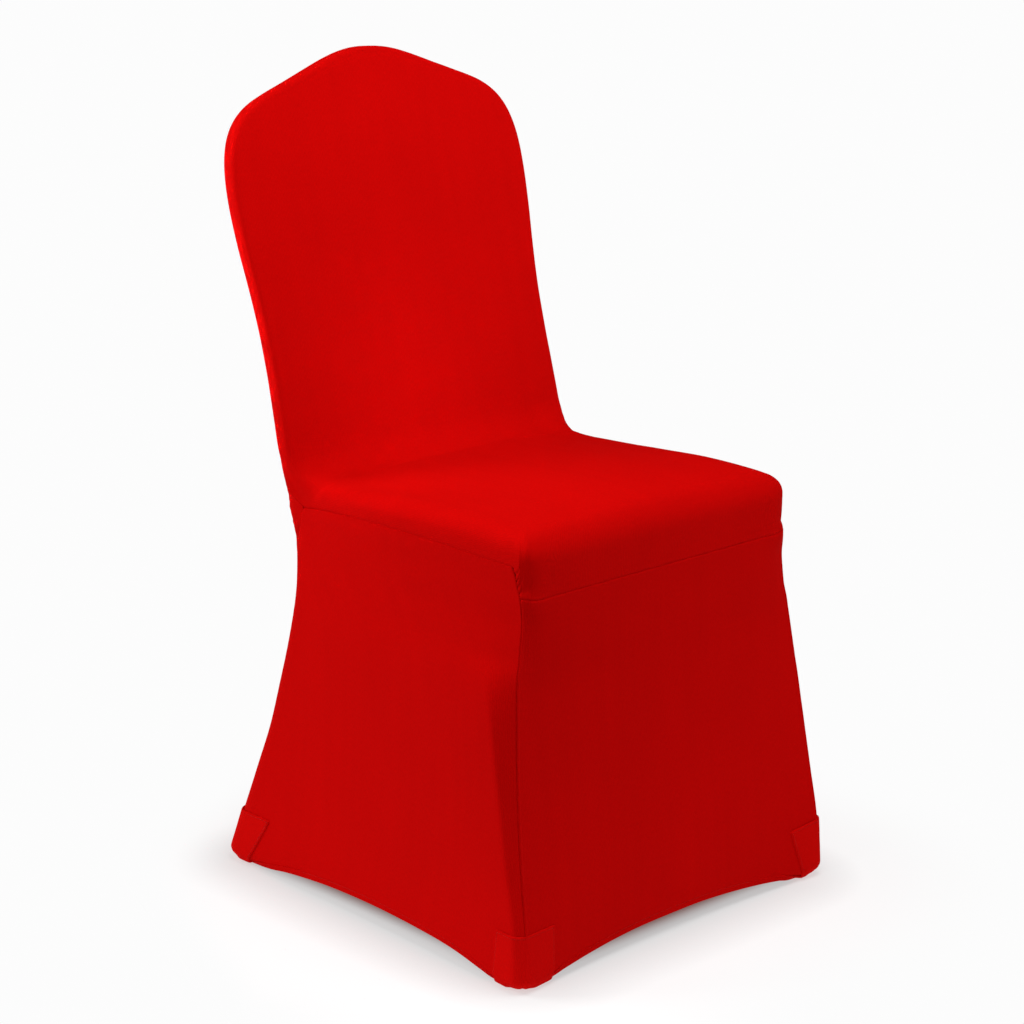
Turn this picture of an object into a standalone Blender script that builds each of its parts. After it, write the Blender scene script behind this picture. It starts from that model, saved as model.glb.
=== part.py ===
"""Stretch-knit cover for a crown-back banquet chair: nine cut pieces, each a thin closed solid.

Metres, +Z up, the chair faces -Y and the cover is symmetric about X = 0. Each piece is worked
out as an open outer surface on shared seam lines, then given the cloth's thickness inwards.
"""
import bpy
import math
from mathutils import Vector

# ---- driving dimensions -------------------------------------------------------------------
CLOTH = 0.0012            # stretch knit, as a sheet
HEM_CLOTH = 0.0020        # the turned-up hem, two layers and their stitching
SEAM_GAP = 0.0004         # between two pieces, along their seam
TOP = 0.9311              # crown peak
ACROSS = 1.006            # breadth as worn, over the breadths listed here
MID_Y = 0.2570            # half way from the front feet to the rear feet

CROWN_ARC = 0.170         # radius of the crown's middle arc
CROWN_ARC_X = 0.057       # half width of that arc
SHOULDER = ((0.148, 0.8889), (0.1951, 0.8722), (0.2171, 0.845), (0.2171, 0.780))
BACK_EDGE = 0.0075        # rounding of the backrest's front edge
BACK_BULGE = 0.006        # padding of the backrest's front face
FILLET_MID = 0.045        # fold between backrest and seat, at the middle
FILLET_SIDE = 0.039       # and at its ends
SEAT_INSET = 0.042        # how far in the seat's side rounding starts
SEAT_INSET_BACK = 0.024   # and beside the backrest
SEAT_POWER = 2.7          # squareness of that rounding
SEAT_SIDE = 0.2003        # half width of the seat at the back
SEAT_FRONT = 0.0270       # front face of the valance
SEAT_CORNER = 0.014       # plan radius of the seat's front corners
VALANCE_ROUND = 0.036
FOOT_ROUND = 0.018        # height at which the cloth starts to round under each foot
FOOT_SIDE = 0.60          # it goes in this share of that height on the flat sides
FOOT_DIAGONAL = 1.35      # and this share at the corner
HEM_LOW = 0.0032          # the hem inside the foot pockets
POCKET_OUT = 0.0020       # a foot pocket lies this far outside the skirt
POCKET_TOP = 0.065
FOOT_CORE_X = 0.2155      # the cloth under a foot rounds in towards this corner
FRONT_CORE_Y = 0.0215
REAR_CORE_Y = 0.4900
POCKET_WALL = 0.026       # hidden inner wall of a foot pocket

# backrest: z, half width, y of the front face's edge, thickness
BACKREST = (
    # z,     width,  front,  thick
    (0.430, 0.2080, 0.3840, 0.0182),
    (0.500, 0.2096, 0.3998, 0.0174),
    (0.560, 0.2086, 0.4150, 0.0170),
    (0.620, 0.2073, 0.4303, 0.0170),
    (0.690, 0.2116, 0.4484, 0.0174),
    (0.740, 0.2158, 0.4612, 0.0182),
    (0.780, 0.2171, 0.4710, 0.0188),
    (0.860, 0.2171, 0.4893, 0.0194),
    (0.930, 0.2171, 0.5030, 0.0220),
)
# seat, front to back: y, top at the side, top at the middle, side seam
SEAT = (
    # y,     side,   middle, seam
    (0.030, 0.4742, 0.4836, 0.4480),
    (0.060, 0.4798, 0.4853, 0.4487),
    (0.115, 0.4829, 0.4880, 0.4495),
    (0.178, 0.4817, 0.4867, 0.4512),
    (0.240, 0.4784, 0.4840, 0.4509),
    (0.300, 0.4752, 0.4815, 0.4504),
    (0.345, 0.4733, 0.4800, 0.4483),
    (0.400, 0.4700, 0.4796, 0.4440),
)
# front corner of the skirts: the corner seam, and the crease where the side face begins
FRONT_CORNER = (
    # z,     seam_x, seam_y, crease_x, crease_y, centre_y of the front skirt
    (0.450, 0.2020, 0.0475, 0.2010, 0.1150, 0.0272),
    (0.414, 0.2012, 0.0366, 0.2030, 0.1000, 0.0280),
    (0.360, 0.2062, 0.0345, 0.2165, 0.0770, 0.0266),
    (0.310, 0.2120, 0.0304, 0.2300, 0.0536, 0.0250),
    (0.250, 0.2184, 0.0236, 0.2355, 0.0394, 0.0205),
    (0.190, 0.2240, 0.0157, 0.2372, 0.0284, 0.0139),
    (0.130, 0.2283, 0.0069, 0.2392, 0.0176, 0.0058),
    (0.070, 0.2312, -0.0026, 0.2406, 0.0054, 0.0003),
    (0.000, 0.2322, -0.0080, 0.2424, 0.0020, 0.0000),
)
# rear corner of the skirts: its seam, the side face's offset from it, the rear face and its edge
REAR_CORNER = (
    # z,     seam_x, seam_y, round,  back_y, turn_x
    (0.4446, 0.2000, 0.3860, 0.0003, 0.4135, 0.2052),
    (0.4230, 0.2000, 0.3925, 0.0010, 0.4070, 0.2040),
    (0.3982, 0.2000, 0.3992, 0.0024, 0.4032, 0.1995),
    (0.3570, 0.2000, 0.4017, 0.0046, 0.4063, 0.1954),
    (0.3330, 0.2015, 0.4034, 0.0052, 0.4086, 0.1963),
    (0.2850, 0.2045, 0.4126, 0.0053, 0.4179, 0.1992),
    (0.2330, 0.2095, 0.4240, 0.0053, 0.4293, 0.2042),
    (0.1800, 0.2145, 0.4370, 0.0053, 0.4423, 0.2092),
    (0.1300, 0.2185, 0.4550, 0.0053, 0.4603, 0.2132),
    (0.0770, 0.2212, 0.4768, 0.0053, 0.4821, 0.2159),
    (0.0000, 0.2225, 0.5110, 0.0053, 0.5163, 0.2172),
)
# arched hem edges: height above the floor, by y along the sides
SIDE_HEM = (
    # y,     height
    (0.0400, 0.0032),
    (0.0600, 0.0086),
    (0.1000, 0.0163),
    (0.1500, 0.0201),
    (0.2350, 0.0221),
    (0.3000, 0.0208),
    (0.3500, 0.0177),
    (0.4000, 0.0122),
    (0.4300, 0.0066),
    (0.4550, 0.0032),
)
# and by the share of the way from the middle to the corner seam, along the front and the back
END_HEM = (
    # share, height
    (0.00, 0.0202),
    (0.20, 0.0197),
    (0.40, 0.0172),
    (0.60, 0.0128),
    (0.80, 0.0062),
    (0.90, 0.0032),
)
# main-to-back seam round the fold, from the rear edge of the backrest to the seat's side seam
FOLD_SEAM = (
    # x,      y,      z
    (0.2080, 0.4148, 0.4935),
    (0.2080, 0.4106, 0.4790),
    (0.2078, 0.4056, 0.4687),
    (0.2070, 0.3998, 0.4592),
    (0.2035, 0.3930, 0.4517),
    (0.2000, 0.3860, 0.4446),
)

COLOURS = {
    "main": (0.620, 0.0028, 0.0022),
    "back": (0.600, 0.0028, 0.0022),
    "front": (0.585, 0.0026, 0.0021),
    "side": (0.600, 0.0026, 0.0021),
    "pocket": (0.635, 0.0034, 0.0026),
}


# ---- small helpers ------------------------------------------------------------------------
def lerp(a, b, t):
    return a + (b - a) * t


def smooth(t):
    t = min(1.0, max(0.0, t))
    return t * t * (3.0 - 2.0 * t)


def soft_max(a, b, blend):
    """The larger of two sizes, rounded over where they are close."""
    return 0.5 * (a + b + math.hypot(a - b, blend))


def look_up(table, key, column):
    """Column of a table at any value of its first column, on a smooth curve through the rows."""
    rows = sorted(table)
    key = min(rows[-1][0], max(rows[0][0], key))
    i = max(k for k in range(len(rows) - 1) if rows[k][0] <= key)
    a, b = rows[i], rows[i + 1]
    before = rows[max(i - 1, 0)]
    after = rows[min(i + 2, len(rows) - 1)]
    span = b[0] - a[0]
    t = (key - a[0]) / span
    slope_a = (b[column] - before[column]) / (b[0] - before[0]) * span
    slope_b = (after[column] - a[column]) / (after[0] - a[0]) * span
    h = t * t * (3.0 - 2.0 * t)
    return lerp(a[column], b[column], h) + t * (1 - t) * ((1 - t) * slope_a - t * slope_b)


def bezier(points, t):
    points = [Vector(p) for p in points]
    while len(points) > 1:
        points = [p.lerp(q, t) for p, q in zip(points, points[1:])]
    return points[0]


def power_round(t, power):
    """Point of a quarter superellipse: (how far out, how far down), both 0 to 1."""
    angle = 0.5 * math.pi * t
    return math.sin(angle) ** (2.0 / power), 1.0 - math.cos(angle) ** (2.0 / power)


# ---- backrest, fold and seat --------------------------------------------------------------
def crown_outline(x):
    """Height of the crown at a half width up to the start of the rounded shoulder."""
    arc_end = TOP - CROWN_ARC + math.sqrt(CROWN_ARC ** 2 - CROWN_ARC_X ** 2)
    if x <= CROWN_ARC_X:
        return TOP - CROWN_ARC + math.sqrt(CROWN_ARC ** 2 - x * x)
    return lerp(arc_end, SHOULDER[0][1], (x - CROWN_ARC_X) / (SHOULDER[0][0] - CROWN_ARC_X))


def backrest_front(x, z):
    width = look_up(BACKREST, z, 1)
    near_top = smooth((TOP - z) / 0.12)
    bulge = BACK_BULGE * max(0.0, 1.0 - (x / width) ** 2) * lerp(0.35, 1.0, near_top)
    return Vector((x, look_up(BACKREST, z, 2) - bulge, z))


def backrest_normal(z):
    lean = (look_up(BACKREST, z + 0.01, 2) - look_up(BACKREST, z - 0.01, 2)) / 0.02
    return Vector((0.0, -1.0, lean)).normalized()


def seat_top(x, y):
    side, middle = look_up(SEAT, y, 1), look_up(SEAT, y, 2)
    return Vector((x, y, lerp(middle, side, min(1.0, (x / SEAT_SIDE)) ** 2)))


def fold(x, t):
    """Backrest-to-seat fold: t 0 on the backrest, 1 on the seat. Returns point and normal."""
    radius = lerp(FILLET_MID, FILLET_SIDE, (x / SEAT_SIDE) ** 2)
    up = backrest_normal(0.50)
    high = backrest_front(x, 0.50)
    level = seat_top(x, 0.37)
    turn = math.acos(up.z)
    reach = radius * math.tan(0.5 * turn)
    slope = Vector((0.0, up.z, -up.y))
    corner = high + slope * ((level.z - high.z) / slope.z)
    start = corner + slope * reach
    centre = start + up * radius
    angle = turn * t
    normal = Vector((0.0, -math.sin(turn - angle), math.cos(turn - angle)))
    return centre - normal * radius, normal


def seat_side(y):
    return lerp(0.2025, SEAT_SIDE, smooth((y - 0.03) / 0.25))


def seat_inset(y):
    return lerp(SEAT_INSET, SEAT_INSET_BACK, smooth((y - 0.22) / 0.14))


def rib(inset, outer, corner, seam, down, power, surface):
    """One rib of the main panel: spine to inset on the surface, rounded edge, then to the seam."""
    row = [surface(t) for t in (0.0, 0.42, 0.76, 1.0)]
    across = outer - inset
    across -= down * across.dot(down)
    depth = (outer - inset).dot(down)
    for t in (0.22, 0.44, 0.64, 0.82, 1.0):
        out, drop = power_round(t, power)
        row.append(inset + across * out + down * (depth * drop))
    row += [bezier((outer, corner, seam), 0.5), seam]
    return row


def backrest_rib(spine_z, edge, outward):
    """Rib of the backrest that ends at an outline point (x, z), rounding along outward (x, z)."""
    out = Vector((outward[0], 0.0, outward[1])).normalized()
    inset_x = edge[0] - out.x * BACK_EDGE
    inset_z = edge[1] - out.z * BACK_EDGE
    inset = backrest_front(inset_x, inset_z)
    normal = backrest_normal(inset_z)
    along = out - normal * out.dot(normal)
    thick = look_up(BACKREST, inset_z, 3)
    outer = inset + along * BACK_EDGE - normal * BACK_EDGE
    ridge = 0.0018 * smooth((inset_z - 0.80) / 0.08)
    corner = inset + along * (BACK_EDGE + 0.6 * ridge) - normal * (thick - 0.0005)
    seam = inset + along * (BACK_EDGE - 0.0013 + ridge) - normal * (thick - 0.0012)

    def surface(t):
        return backrest_front(inset_x * t, lerp(spine_z, inset_z, t))
    return rib(inset, outer, corner, seam, -normal, 2.0, surface), along, normal


def shoulder_ribs():
    """Ribs over the crown and round the shoulder, then down the backrest's side."""
    edges = [((x, crown_outline(x)), None) for x in (0.0, 0.019, 0.038, 0.057, 0.088, 0.119)]
    for k in range(8):
        p = bezier([(x, z, 0.0) for x, z in SHOULDER], k / 7.0)
        edges.append(((p.x, p.y), None))
    edges += [((look_up(BACKREST, z, 1), z), None) for z in (0.735, 0.69, 0.64, 0.59, 0.54, 0.505)]
    points = [e[0] for e in edges]
    ribs = []
    for k, (x, z) in enumerate(points):
        before = points[k - 1] if k else (-points[1][0], points[1][1])
        after = points[min(k + 1, len(points) - 1)]
        outward = (-(after[1] - before[1]), after[0] - before[0])
        spine_z = lerp(0.912, 0.522, (k / (len(points) - 1.0)) ** 1.6)
        ribs.append(backrest_rib(spine_z, (x, z), outward))
    return ribs


def fold_ribs():
    ribs = []
    for k, seam in enumerate(FOLD_SEAM):
        t = (k + 0.5) / len(FOLD_SEAM)
        share = smooth((k + 0.6) / len(FOLD_SEAM))
        inset_x = lerp(look_up(BACKREST, 0.5, 1) - BACK_EDGE, SEAT_SIDE - SEAT_INSET_BACK, share)
        inset, normal = fold(inset_x, t)
        seam = Vector(seam)
        down = (seam - inset)
        down = (Vector((0.0, down.y, down.z)).normalized() * 0.6 - normal * 0.4).normalized()
        depth = (seam - inset).dot(down)
        wide = lerp(look_up(BACKREST, 0.5, 1), SEAT_SIDE, share)
        outer = inset + down * depth * lerp(0.55, 0.86, share)
        outer.x = wide
        corner = outer.lerp(seam, 0.5)
        corner.x = lerp(max(wide, seam.x), corner.x, share)
        ribs.append(rib(inset, outer, corner, seam, down, lerp(2.0, SEAT_POWER, share),
                        lambda s, t=t, x=inset_x: fold(x * s, t)[0]))
    return ribs


def seat_ribs():
    """Ribs down the seat's side, round its front corner and along the valance."""
    ribs = []
    down = Vector((0.0, 0.0, -1.0))
    side_ys = (0.358, 0.330, 0.290, 0.245, 0.200, 0.155, 0.115, 0.085, 0.0640, 0.0475)
    stops = [("side", y) for y in side_ys]
    stops += [("corner", a) for a in (14.0, 28.0, 42.0, 58.0, 74.0, 90.0)]
    stops += [("front", x) for x in (0.160, 0.120, 0.080, 0.040, 0.0)]
    centre = (0.2025 - SEAT_CORNER, SEAT_FRONT + SEAT_CORNER)
    for k, (kind, value) in enumerate(stops):
        if kind == "side":
            y = value
            outer = Vector((seat_side(y), y, 0.0))
            inset_x, inset_y = outer.x - seat_inset(y), soft_max(y, 0.066, 0.012)
            seam = Vector((outer.x - 0.0002, y, look_up(SEAT, y, 3)))
            spine_y, power = soft_max(y, 0.1015 + 0.2 * y, 0.030), SEAT_POWER
        else:
            angle = math.radians(value if kind == "corner" else 90.0)
            x = centre[0] + SEAT_CORNER * math.cos(angle) if kind == "corner" else value
            outer = Vector((x, centre[1] - SEAT_CORNER * math.sin(angle), 0.0))
            turn = smooth(math.degrees(angle) / 90.0)
            inset_x = lerp(0.1600, 0.1480, turn) if kind == "corner" else min(x, x * 0.148 / 0.1885)
            inset_y = lerp(0.0675, SEAT_FRONT + VALANCE_ROUND, turn)
            drop = smooth(math.degrees(angle) / 42.0)
            corner_x = look_up(FRONT_CORNER, 0.414, 1)
            seam_z = lerp(look_up(SEAT, 0.0475, 3), 0.4156, drop) - 0.0026 * smooth((k - 12) / 4.0)
            seam = Vector((outer.x, outer.y + 0.0012 * drop, seam_z))
            if kind == "corner" and value <= 42.0:
                seam.x = lerp(outer.x, corner_x, drop)
                seam.y = lerp(0.0475, 0.0366, value / 42.0)
            spine_y, power = lerp(0.1135, 0.080, (k - 9) / 11.0), lerp(SEAT_POWER, 2.2, turn)
        inset = seat_top(inset_x, inset_y)
        depth = inset.z - look_up(SEAT, max(outer.y, 0.03), 3) - 0.0040
        outer.z = inset.z - depth
        corner = outer.lerp(seam, 0.5)
        ribs.append(rib(inset, outer, corner, seam, down, power,
                        lambda s, a=inset_x, b=inset_y, c=spine_y: seat_top(a * s, lerp(c, b, s))))
    return ribs


# ---- skirts -------------------------------------------------------------------------------
def tuck(z, radius, centre_z=FOOT_ROUND):
    """How far the cloth has gone in under the foot at a height."""
    if z >= centre_z:
        return 0.0
    return radius - math.sqrt(max(0.0, radius ** 2 - (centre_z - z) ** 2))


def tucked(point, radius):
    """The same place after the cloth has rounded in under the nearest foot."""
    core = Vector((min(point.x, FOOT_CORE_X), point.y, point.z))
    if point.y < 0.25:
        core.y = max(point.y, FRONT_CORE_Y)
    else:
        core.x = min(point.x, FOOT_CORE_X - 0.012)
        core.y = min(point.y, REAR_CORE_Y)
    if (core - point).length < 1e-6:
        return point
    inward = (core - point).normalized()
    reach = lerp(FOOT_SIDE, FOOT_DIAGONAL, 2.0 * abs(inward.x * inward.y))
    return point + inward * (reach * tuck(point.z, radius))


def corner_line(z):
    return [look_up(FRONT_CORNER, z, c) for c in (1, 2, 3, 4, 5)]


def side_x(y, z):
    """Half width of the side skirt at a place on it, band and rear rounding included."""
    seam_x, seam_y, crease_x, crease_y, _ = corner_line(z)
    rear_x, rear_y, rounding = (look_up(REAR_CORNER, z, c) for c in (1, 2, 3))
    low = smooth((0.45 - z) / 0.45)
    t = (y - crease_y) / (rear_y - crease_y)
    hollow = 0.0055 * low ** 2 * max(0.0, 4.0 * t * (1.0 - t))
    face = lerp(crease_x, rear_x + rounding, t) - hollow
    band = lerp(seam_x, crease_x, (y - seam_y) / (crease_y - seam_y))
    blend = 0.0003 + 0.0015 * smooth((0.4 - z) / 0.1)
    blend += 0.0120 * smooth((0.42 - z) / 0.04) * smooth((z - 0.27) / 0.06)
    front = 0.5 * (face + band - math.sqrt((face - band) ** 2 + blend ** 2))
    if rounding <= 0.0004:
        return front
    radius = rounding / (1.0 - math.sqrt(0.5))
    past = y - (rear_y - radius * math.sqrt(0.5))
    return front - (radius - math.sqrt(max(0.0, radius ** 2 - max(0.0, past) ** 2)))


def hem_rise(table, place):
    """How far an arched hem is above its lowest point."""
    return max(0.0, look_up(table, place, 1) - HEM_LOW)


SKIRT_LEVELS = (0.385, 0.350, 0.315, 0.280, 0.240, 0.200, 0.160, 0.120, 0.090, 0.065, 0.045, 0.030,
                0.018, 0.010, HEM_LOW)


def side_skirt(seams):
    """Rows down, columns from the rear corner to the front corner seam (right-hand side)."""
    top, descent = seams["side"], seams["descent"]
    front = [top[-1]] + descent[1:]
    front_z = [p.z for p in front] + list(SKIRT_LEVELS)
    low = (0.0, 0.055, 0.135, 0.255, 0.42, 0.62, 0.80, 0.925, 1.0)
    count = len(top)
    rows = []
    for j, z_front in enumerate(front_z):
        v = (front_z[0] - z_front) / (front_z[0] - front_z[-1])
        if j == 0:
            rows.append(list(top))
            continue
        rear_z = lerp(top[0].z, front_z[-1], v)
        rear_y = look_up(REAR_CORNER, rear_z, 2)
        if j < len(front):
            front_y = front[j].y
        else:
            front_y = look_up(FRONT_CORNER, z_front, 2)
        crease = look_up(FRONT_CORNER, z_front, 4)
        settle = smooth((v - 0.02) / 0.22)
        row = []
        for i in range(count):
            share_top = (top[i].y - top[0].y) / (top[-1].y - top[0].y)
            crease_share = (crease - rear_y) / (front_y - rear_y)
            share_low = low[i] * crease_share if i < 9 else 1.0
            if i == 9:
                share_low = lerp(crease_share, 1.0, 0.45)
            share = lerp(share_top, share_low, settle)
            y = lerp(rear_y, front_y, share)
            z = lerp(top[i].z, front_z[-1] + hem_rise(SIDE_HEM, y), v)
            row.append(tucked(Vector((side_x(y, z), y, z)), FOOT_ROUND - POCKET_OUT))
        if j < len(front):
            row[-1] = front[j].copy()
        rows.append(row)
    return rows


FRONT_COLUMNS = (1.0, 0.957, 0.888, 0.815, 0.69, 0.52, 0.35, 0.17, 0.0)


def front_y(share, z, power):
    """Front skirt's face at a share of the way from its middle to the corner seam."""
    middle = look_up(FRONT_CORNER, z, 5) + 0.004 * smooth((0.12 - z) / 0.12) * (1.0 - share ** 2)
    return lerp(middle, look_up(FRONT_CORNER, z, 2), share ** power)


def front_skirt(seams, side_rows):
    """Rows down, columns from the corner seam to the middle (right-hand half)."""
    top = seams["front"]
    first = len(seams["descent"]) - 1
    corner = [row[-1] for row in side_rows[first:]]
    count = len(top)
    rows = [list(top)]
    for j in range(1, len(corner)):
        edge = corner[j]
        v = (corner[0].z - edge.z) / (corner[0].z - corner[-1].z)
        row = [edge.copy()]
        for i in range(1, count):
            share = lerp(top[i].x / top[0].x, FRONT_COLUMNS[i], smooth(v / 0.35))
            z = lerp(top[i].z, corner[-1].z + hem_rise(END_HEM, share), v)
            x = share * (edge.x if j < 3 else look_up(FRONT_CORNER, edge.z, 1))
            y = front_y(share, z, lerp(14.0, 3.4, smooth(v / 0.45)))
            row.append(tucked(Vector((x, y, z)), FOOT_ROUND - POCKET_OUT))
        rows.append(row)
    return rows


def back_panel(seams, side_rows):
    """Ribs from the middle out to the seam: crown, backrest sides, then the rear skirt."""
    rows = []
    for k, (seam, along, normal, spine_z) in enumerate(seams["back"]):
        inside = seam - along * 0.0065 - normal * 0.0012
        corner = seam + along * 0.0008 - normal * 0.0013
        y_of = look_up(BACKREST, spine_z, 2) + look_up(BACKREST, spine_z, 3)
        spine = Vector((0.0, y_of, spine_z))
        row = [spine.lerp(inside, t) for t in (0.0, 0.38, 0.72, 1.0)]
        for p in row[1:3]:
            p.y = look_up(BACKREST, p.z, 2) + look_up(BACKREST, p.z, 3)
        rows.append(row + [bezier((inside, corner, seam), 0.5), seam])
    for seam, rear_y, turn_x in seams["fold"]:
        rows.append(back_row(seam, rear_y, turn_x, 0.0))
    for row in side_rows[1:]:
        seam = row[0]
        rear_y, turn_x = (look_up(REAR_CORNER, seam.z, c) for c in (4, 5))
        rows.append(back_row(seam, rear_y, turn_x, smooth((0.455 - seam.z) / 0.05)))
    return rows


def back_row(seam, rear_y, turn_x, bow):
    """One row of the back panel below the backrest, from the middle to the seam."""
    row = []
    start = turn_x - 0.0075
    for t in (0.0, 0.38, 0.72, 1.0):
        x = start * t
        z = seam.z + hem_rise(END_HEM, x / seam.x) * smooth((0.40 - seam.z) / 0.4)
        loose = 0.007 * smooth((z - 0.05) / 0.1) - 0.003 * smooth((0.1 - z) / 0.1)
        shift = look_up(REAR_CORNER, z, 4) - look_up(REAR_CORNER, seam.z, 4)
        y = rear_y + shift + loose * bow * (1.0 - t * t)
        row.append(tucked(Vector((x, y, z)), FOOT_ROUND - POCKET_OUT))
    inside = row[-1]
    corner = tucked(Vector((turn_x, rear_y, seam.z)), FOOT_ROUND - POCKET_OUT)
    return row + [bezier((inside, corner, seam), 0.5), seam]


# ---- foot pockets -------------------------------------------------------------------------
def pocket_rows(path, inner):
    """Cup of one sheet: outside the skirts, under the foot, and up inside.

    path(z) gives (point, outward normal) pairs, inner gives where each column's inner wall is.
    """
    rows = []
    levels = (POCKET_TOP, 0.040, 0.018, 0.0100, 0.0055, 0.0020, 0.0)
    for z in levels:
        row = []
        for point, normal in path(z):
            row.append(tucked(point + normal * POCKET_OUT, FOOT_ROUND))
            if z < 0.001:
                row[-1] = tucked(Vector((*(point + normal * POCKET_OUT).xy, 0.0008)), FOOT_ROUND)
                row[-1].z = 0.0
        rows.append(row)
    for t in (0.5, 1.0):
        rows.append([Vector((lerp(p.x, q.x, t), lerp(p.y, q.y, t), 0.0)) for p, q in zip(rows[6], inner)])
    rows.append([Vector((q.x, q.y, POCKET_WALL)) for q in inner])
    return rows


def front_pocket(end_low, end_high):
    """end_low and end_high: how far along the front skirt it ends, at the floor and at its top."""
    def path(z):
        seam_x, seam_y, crease_x, crease_y, _ = corner_line(z)
        out = []
        end_y = lerp(0.0388, 0.0316, z / POCKET_TOP)
        for t in (0.0, 0.5, 0.85):
            y = lerp(end_y, crease_y, t)
            out.append((Vector((side_x(y, z), y, z)), Vector((1.0, 0.0, 0.0))))
        for t, angle in ((0.96, 22.0), (0.5, 45.0), (0.0, 60.0)):
            a = math.radians(angle)
            out.append((Vector((lerp(seam_x, crease_x, t), lerp(seam_y, crease_y, t), z)),
                        Vector((math.cos(a), -math.sin(a), 0.0))))
        end = lerp(end_low, end_high, z / POCKET_TOP)
        for t in (0.23, 0.60, 1.0):
            share = lerp(1.0, end, t)
            out.append((Vector((seam_x * share, front_y(share, z, 3.4), z)), Vector((0.0, -1.0, 0.0))))
        return out
    wall = ((0.2165, 0.0400, 0.0), (0.2030, 0.0370, 0.0), (0.1880, 0.0225, 0.0))
    return pocket_rows(path, [bezier(wall, k / 8.0) for k in range(9)])


def rear_pocket():
    def path(z):
        rear_x, rear_y, rounding = (look_up(REAR_CORNER, z, c) for c in (1, 2, 3))
        radius = rounding / (1.0 - math.sqrt(0.5))
        cx, cy = rear_x - radius * math.sqrt(0.5), rear_y - radius * math.sqrt(0.5)
        out = []
        for t in (1.0, 0.5, 0.0):
            y = cy - t * lerp(0.026, 0.034, z / POCKET_TOP)
            out.append((Vector((side_x(y, z), y, z)), Vector((1.0, 0.0, 0.0))))
        for angle in (25.0, 45.0, 65.0):
            a = math.radians(angle)
            n = Vector((math.cos(a), math.sin(a), 0.0))
            out.append((Vector((cx, cy, z)) + n * radius, n))
        for inward in (0.0, 0.014, 0.028):
            out.append((Vector((cx - inward, cy + radius, z)), Vector((0.0, 1.0, 0.0))))
        return out
    wall = ((0.2020, 0.4690, 0.0), (0.1860, 0.4700, 0.0), (0.1790, 0.4900, 0.0))
    return pocket_rows(path, [bezier(wall, k / 8.0) for k in range(9)])


# ---- from open surfaces to solids ---------------------------------------------------------
class Sheet:
    """Open surface of one piece, with its vertices welded where they coincide."""

    def __init__(self, name, material, hem):
        self.name = name
        self.material = material
        self.hem = hem
        self.hem_points = set()
        self.points = []
        self.faces = []
        self.index = {}

    def vertex(self, point):
        key = (round(point.x, 6), round(point.y, 6), round(point.z, 6))
        if key not in self.index:
            self.index[key] = len(self.points)
            self.points.append(Vector(point))
        return self.index[key]

    def add(self, rows, mirrored=False, flip=False):
        sign = -1.0 if mirrored else 1.0
        for upper, lower in zip(rows, rows[1:]):
            for k in range(len(upper) - 1):
                corners = [upper[k], lower[k], lower[k + 1], upper[k + 1]]
                ids = []
                for p in corners:
                    i = self.vertex(Vector((p.x * sign, p.y, p.z)))
                    if i not in ids:
                        ids.append(i)
                if len(ids) > 2:
                    self.faces.append(ids[::-1] if mirrored != flip else ids)
                if self.hem and lower is rows[-1]:
                    self.hem_points.update(ids)

    def face_normal(self, face):
        p = [self.points[i] for i in face]
        total = Vector()
        for k in range(1, len(p) - 1):
            total += (p[k] - p[0]).cross(p[k + 1] - p[0])
        return total

    def finish_surface(self):
        self.normals = [Vector() for _ in self.points]
        for face in self.faces:
            n = self.face_normal(face).normalized()
            for i in face:
                self.normals[i] += n
        self.normals = [n.normalized() for n in self.normals]
        edges = {}
        for face in self.faces:
            for a, b in zip(face, face[1:] + face[:1]):
                edges[(a, b)] = face
        self.rim = [(a, b) for a, b in edges if (b, a) not in edges]
        inward = {}
        for a, b in self.rim:
            n = self.face_normal(edges[(a, b)]).normalized()
            side = n.cross(self.points[b] - self.points[a]).normalized()
            inward.setdefault(a, []).append(side)
            inward.setdefault(b, []).append(side)
        self.inset = {}
        for i, sides in inward.items():
            total = sides[0] + sides[-1]
            self.inset[i] = total / max(0.6, 1.0 + sides[0].dot(sides[-1]))


def thicken(sheet, shared):
    """Closed solid: the outer surface, an inner one a cloth's thickness in, and the rim."""
    outer, inner = [], []
    for i, p in enumerate(sheet.points):
        own = sheet.normals[i]
        key = (round(p.x, 5), round(p.y, 5), round(p.z, 5))
        normal = shared.get(key, own) if i in sheet.inset else own
        cloth = HEM_CLOTH if i in sheet.hem_points else CLOTH
        step = cloth / max(0.55, normal.dot(own))
        start = p + sheet.inset[i] * (0.5 * SEAM_GAP) if i in sheet.inset else p
        outer.append(start)
        inner.append(start - normal * step)
    count = len(outer)
    faces = [list(f) for f in sheet.faces]
    faces += [[i + count for i in reversed(f)] for f in sheet.faces]
    faces += [[b, a, a + count, b + count] for a, b in sheet.rim]
    mesh = bpy.data.meshes.new(sheet.name)
    mesh.from_pydata([(p.x * ACROSS, p.y - MID_Y, p.z) for p in outer + inner], [], faces)
    mesh.validate()
    mesh.materials.append(sheet.material)
    piece = bpy.data.objects.new(sheet.name, mesh)
    bpy.context.scene.collection.objects.link(piece)
    return piece


def knit(name, colour):
    material = bpy.data.materials.new(name)
    material.use_nodes = True
    shader = material.node_tree.nodes["Principled BSDF"]
    shader.inputs["Base Color"].default_value = (*colour, 1.0)
    shader.inputs["Roughness"].default_value = 0.85
    shader.inputs["Metallic"].default_value = 0.0
    material.diffuse_color = (*colour, 1.0)
    return material


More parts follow.
